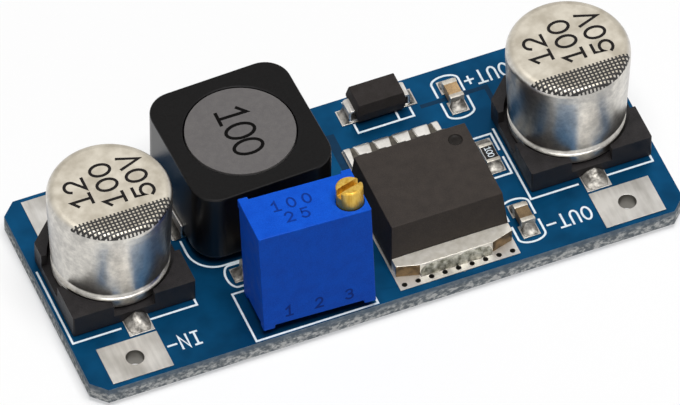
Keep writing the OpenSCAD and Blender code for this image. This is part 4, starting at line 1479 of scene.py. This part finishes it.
@dataclass
class SolderJoints(SubAssembly):
    """Solder joints: smooth at the large parts, uneven at the capacitors and chips."""

    edge: float = 0.02
    capacitor: JointForm = JointForm(1.0, 1.62, 0.62, fall=1.1, edge=1.2)
    ceramic: JointForm = JointForm(0.68, 0.8, 0.62, fall=1.8, edge=0.7)
    resistor: JointForm = JointForm(0.68, 0.8, 0.42, fall=1.8, edge=0.7)
    steps: tuple[int, int] = (28, 24)
    taper: float = 0.5
    taper_curl: int = 4
    # Height of a joint at its outer edge
    rim: float = 0.025
    # Share and rate of the two noises that make a joint uneven
    swells: tuple[Span, ...] = ((0.4, 1.4), (0.15, 3.1))

    def dress(self) -> None:
        """Gives the smooth joints their finish."""
        for kind in ("inductor", "regulator", "diode", "trimmer"):
            dress(f"{kind}_solder", SOLDER_FINISH, self.edge)

    def joint(self, shape: Mesh, foot: Vector, out: Vector, form: JointForm) -> None:
        """Adds an uneven joint that falls away from an upright face.

        Args:
            shape: Mesh to add to.
            foot: Middle of the joint's lower edge at the face, in millimetres.
            out: Level direction away from the face.
            form: Its form.
        """
        aside = Z_AXIS.cross(out)
        across, along = self.steps
        rings = []
        for j in range(along + 1):
            t = j / along
            half = form.half * math.sqrt(1 - self.taper * t ** self.taper_curl)
            ahead = out * (t * form.reach)
            ring = []
            for i in range(across + 1):
                s = 2 * i / across - 1
                spot = foot + aside * (s * half) + ahead
                swell = 1 + sum(share * noise.noise(spot * rate) for share, rate in self.swells)
                rise = form.height * (1 - t) ** form.fall * (1 - s * s) ** form.edge * swell
                ring.append(shape.verts.new((spot + Z_AXIS * (self.rim + rise)) * MM))
            for s in (1, -1):
                ring.append(shape.verts.new((foot + aside * (s * half) + ahead) * MM))
            rings.append(ring)
        skin(shape, rings)

    def at_capacitors(self) -> Mesh:
        """Joints before and behind both capacitor bases.

        Returns:
            The mesh.
        """
        shape = bmesh.new()
        for side in ("input", "output"):
            low, high = box_mm(f"{side}_capacitor_base")
            ground = box_mm(f"{side}_capacitor_leads")[0].z
            for y, out in ((low.y, -Y_AXIS), (high.y, Y_AXIS)):
                self.joint(shape, Vector(((low.x + high.x) / 2, y, ground)), out, self.capacitor)
        return shape

    def at_chips(self) -> Mesh:
        """Joints at both ends of each chip.

        Returns:
            The mesh.
        """
        shape = bmesh.new()
        for chip in ("rear_ceramic", "front_ceramic", "middle_ceramic", "resistor"):
            form = self.resistor if chip == "resistor" else self.ceramic
            low, high = box_mm(f"{chip}_ends")
            out = X_AXIS if high.x - low.x > high.y - low.y else Y_AXIS
            half = (high - low).dot(out) / 2
            middle = (low + high) / 2
            middle.z = low.z
            for way in (out, -out):
                self.joint(shape, middle + way * half, way, form)
        return shape

    def build(self) -> list[Piece]:
        """Makes the uneven joints, which stand for the plain ones of the CAD model.

        Returns:
            The new pieces.
        """
        pieces = []
        for kind, shape in (("capacitor", self.at_capacitors()), ("chip", self.at_chips())):
            made = piece(f"{kind}_solder_joints", shape, SOLDER_FINISH, smooth=True)
            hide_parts(f"{kind}_solder")
            pieces.append(made)
        return pieces


@dataclass
class Studio:
    """Soft light from above, pale floor and the camera at the photographed angle, in metres."""

    white: str = "#FFFFFF"
    floor_size: float = 3.0
    paper: str = "#FBFBFB"
    bounce: str = "#A4A4A4"
    glow: float = 0.5
    fill_level: float = 0.15
    ceiling: str = "#DCDCDC"
    # Where the walls end and the ceiling begins, as the upward part of a direction
    ceiling_range: Span = (0.5, 0.68)
    key_level: float = 7.9
    key_size: float = 0.5
    key_place: Triple = (0.02, -0.14, 0.9)
    eye_mm: Triple = (-255.35, -616.72, 811.0)
    sight: Triple = (0.24332, 0.58837, -0.77111)
    upright: Triple = (0.29095, 0.71412, 0.63670)
    lens_mm: float = 690.8
    sensor_mm: float = 36.0
    clip: Span = (0.05, 20)

    def seen(self, tree: Tree) -> Node:
        """Tells the rays that look at a surface from those that gather light.

        Args:
            tree: Node tree of the material or world.

        Returns:
            Node that gives 1 for camera, glossy and transmitted rays.
        """
        path = add(tree, "LightPath").outputs
        looks = {0: path["Is Camera Ray"], 1: path["Is Glossy Ray"]}
        eye = add(tree, "Math", looks, operation="MAXIMUM")
        return add(tree, "Math", {0: eye, 1: path["Is Transmission Ray"]}, operation="MAXIMUM")

    def room(self) -> None:
        """Makes the surroundings: white walls under a dimmer ceiling, which give little light."""
        world = bpy.data.worlds.new("studio_room")
        bpy.context.scene.world = world
        world.use_nodes = True
        tree = world.node_tree
        tree.nodes.clear()
        way = add(tree, "SeparateXYZ", {"Vector": add(tree, "TexCoord").outputs["Generated"]})
        tone = add(tree, "ValToRGB", {"Fac": way.outputs["Z"]}, [
            (self.ceiling_range[0], self.white), (self.ceiling_range[1], self.ceiling),
        ])
        fill = add(tree, "Background", {"Color": linear(self.white), "Strength": self.fill_level})
        shown = add(tree, "Background", {"Color": tone})
        mixed = add(tree, "MixShader", {0: self.seen(tree), 1: fill, 2: shown})
        add(tree, "OutputWorld", {"Surface": mixed})

    def lamp(self) -> None:
        """Hangs one large soft lamp over the module."""
        lamp = bpy.data.lights.new("key_softbox", "AREA")
        lamp.shape = "SQUARE"
        lamp.size = self.key_size
        lamp.energy = self.key_level
        key = bpy.data.objects.new("key_softbox", lamp)
        key.location = self.key_place
        key.rotation_euler = (-Vector(self.key_place)).to_track_quat("-Z", "Y").to_euler()
        bpy.context.scene.collection.objects.link(key)

    def floor(self) -> None:
        """Lays the pale floor that takes the shadow."""
        mesh = bpy.data.meshes.new("studio_floor")
        h = self.floor_size / 2
        z = CAD_BOX[0].z
        mesh.from_pydata([(-h, -h, z), (h, -h, z), (h, h, z), (-h, h, z)], [], [(0, 1, 2, 3)])
        sheet = bpy.data.objects.new("studio_floor", mesh)
        bpy.context.scene.collection.objects.link(sheet)
        material = bpy.data.materials.new("Pale_paper_floor")
        material.use_nodes = True
        tree = material.node_tree
        tree.nodes.clear()
        seen = self.seen(tree)
        tone = add(tree, "Mix", {
            SHARE: seen, COLOUR_A: linear(self.bounce), COLOUR_B: linear(self.paper),
        }, data_type="RGBA")
        paper = add(tree, "BsdfDiffuse", {"Color": tone.outputs[COLOUR]})
        lit = add(tree, "Emission", {"Color": linear(self.white)})
        share = add(tree, "Math", {0: seen, 1: self.glow}, operation="MULTIPLY")
        add(tree, "OutputMaterial", {
            "Surface": add(tree, "MixShader", {0: share, 1: paper, 2: lit}),
        })
        mesh.materials.append(material)

    def camera(self) -> None:
        """Sets the camera where the photograph was taken from."""
        data = bpy.data.cameras.new("photo_camera")
        data.lens = self.lens_mm
        data.sensor_width = self.sensor_mm
        data.sensor_fit = "HORIZONTAL"
        data.clip_start, data.clip_end = self.clip
        camera = bpy.data.objects.new("photo_camera", data)
        back = -Vector(self.sight).normalized()
        up = Vector(self.upright)
        up = (up - back * up.dot(back)).normalized()
        turn = Matrix((up.cross(back), up, back)).transposed().to_4x4()
        camera.matrix_world = Matrix.Translation(Vector(self.eye_mm) * MM) @ turn
        bpy.context.scene.collection.objects.link(camera)
        bpy.context.scene.camera = camera

    def build(self) -> None:
        """Builds surroundings, lamp, floor and camera."""
        bpy.context.scene.view_settings.view_transform = "Standard"
        self.room()
        self.lamp()
        self.floor()
        self.camera()


def main() -> None:
    """Builds the studio and each sub-assembly in order."""
    logging.basicConfig(level=logging.INFO, format="%(message)s")
    Studio().build()
    parts: list[SubAssembly] = [
        Board(), SilkScreen(), CanCapacitor("input"), CanCapacitor("output"), Inductor(),
        Trimmer(), Regulator(), SmallParts(), SolderJoints(),
    ]
    for part in parts:
        part.dress()
        for made in part.build():
            log.info("%s: %d faces", made.name, len(made.data.polygons))


if __name__ == "__main__":
    main()
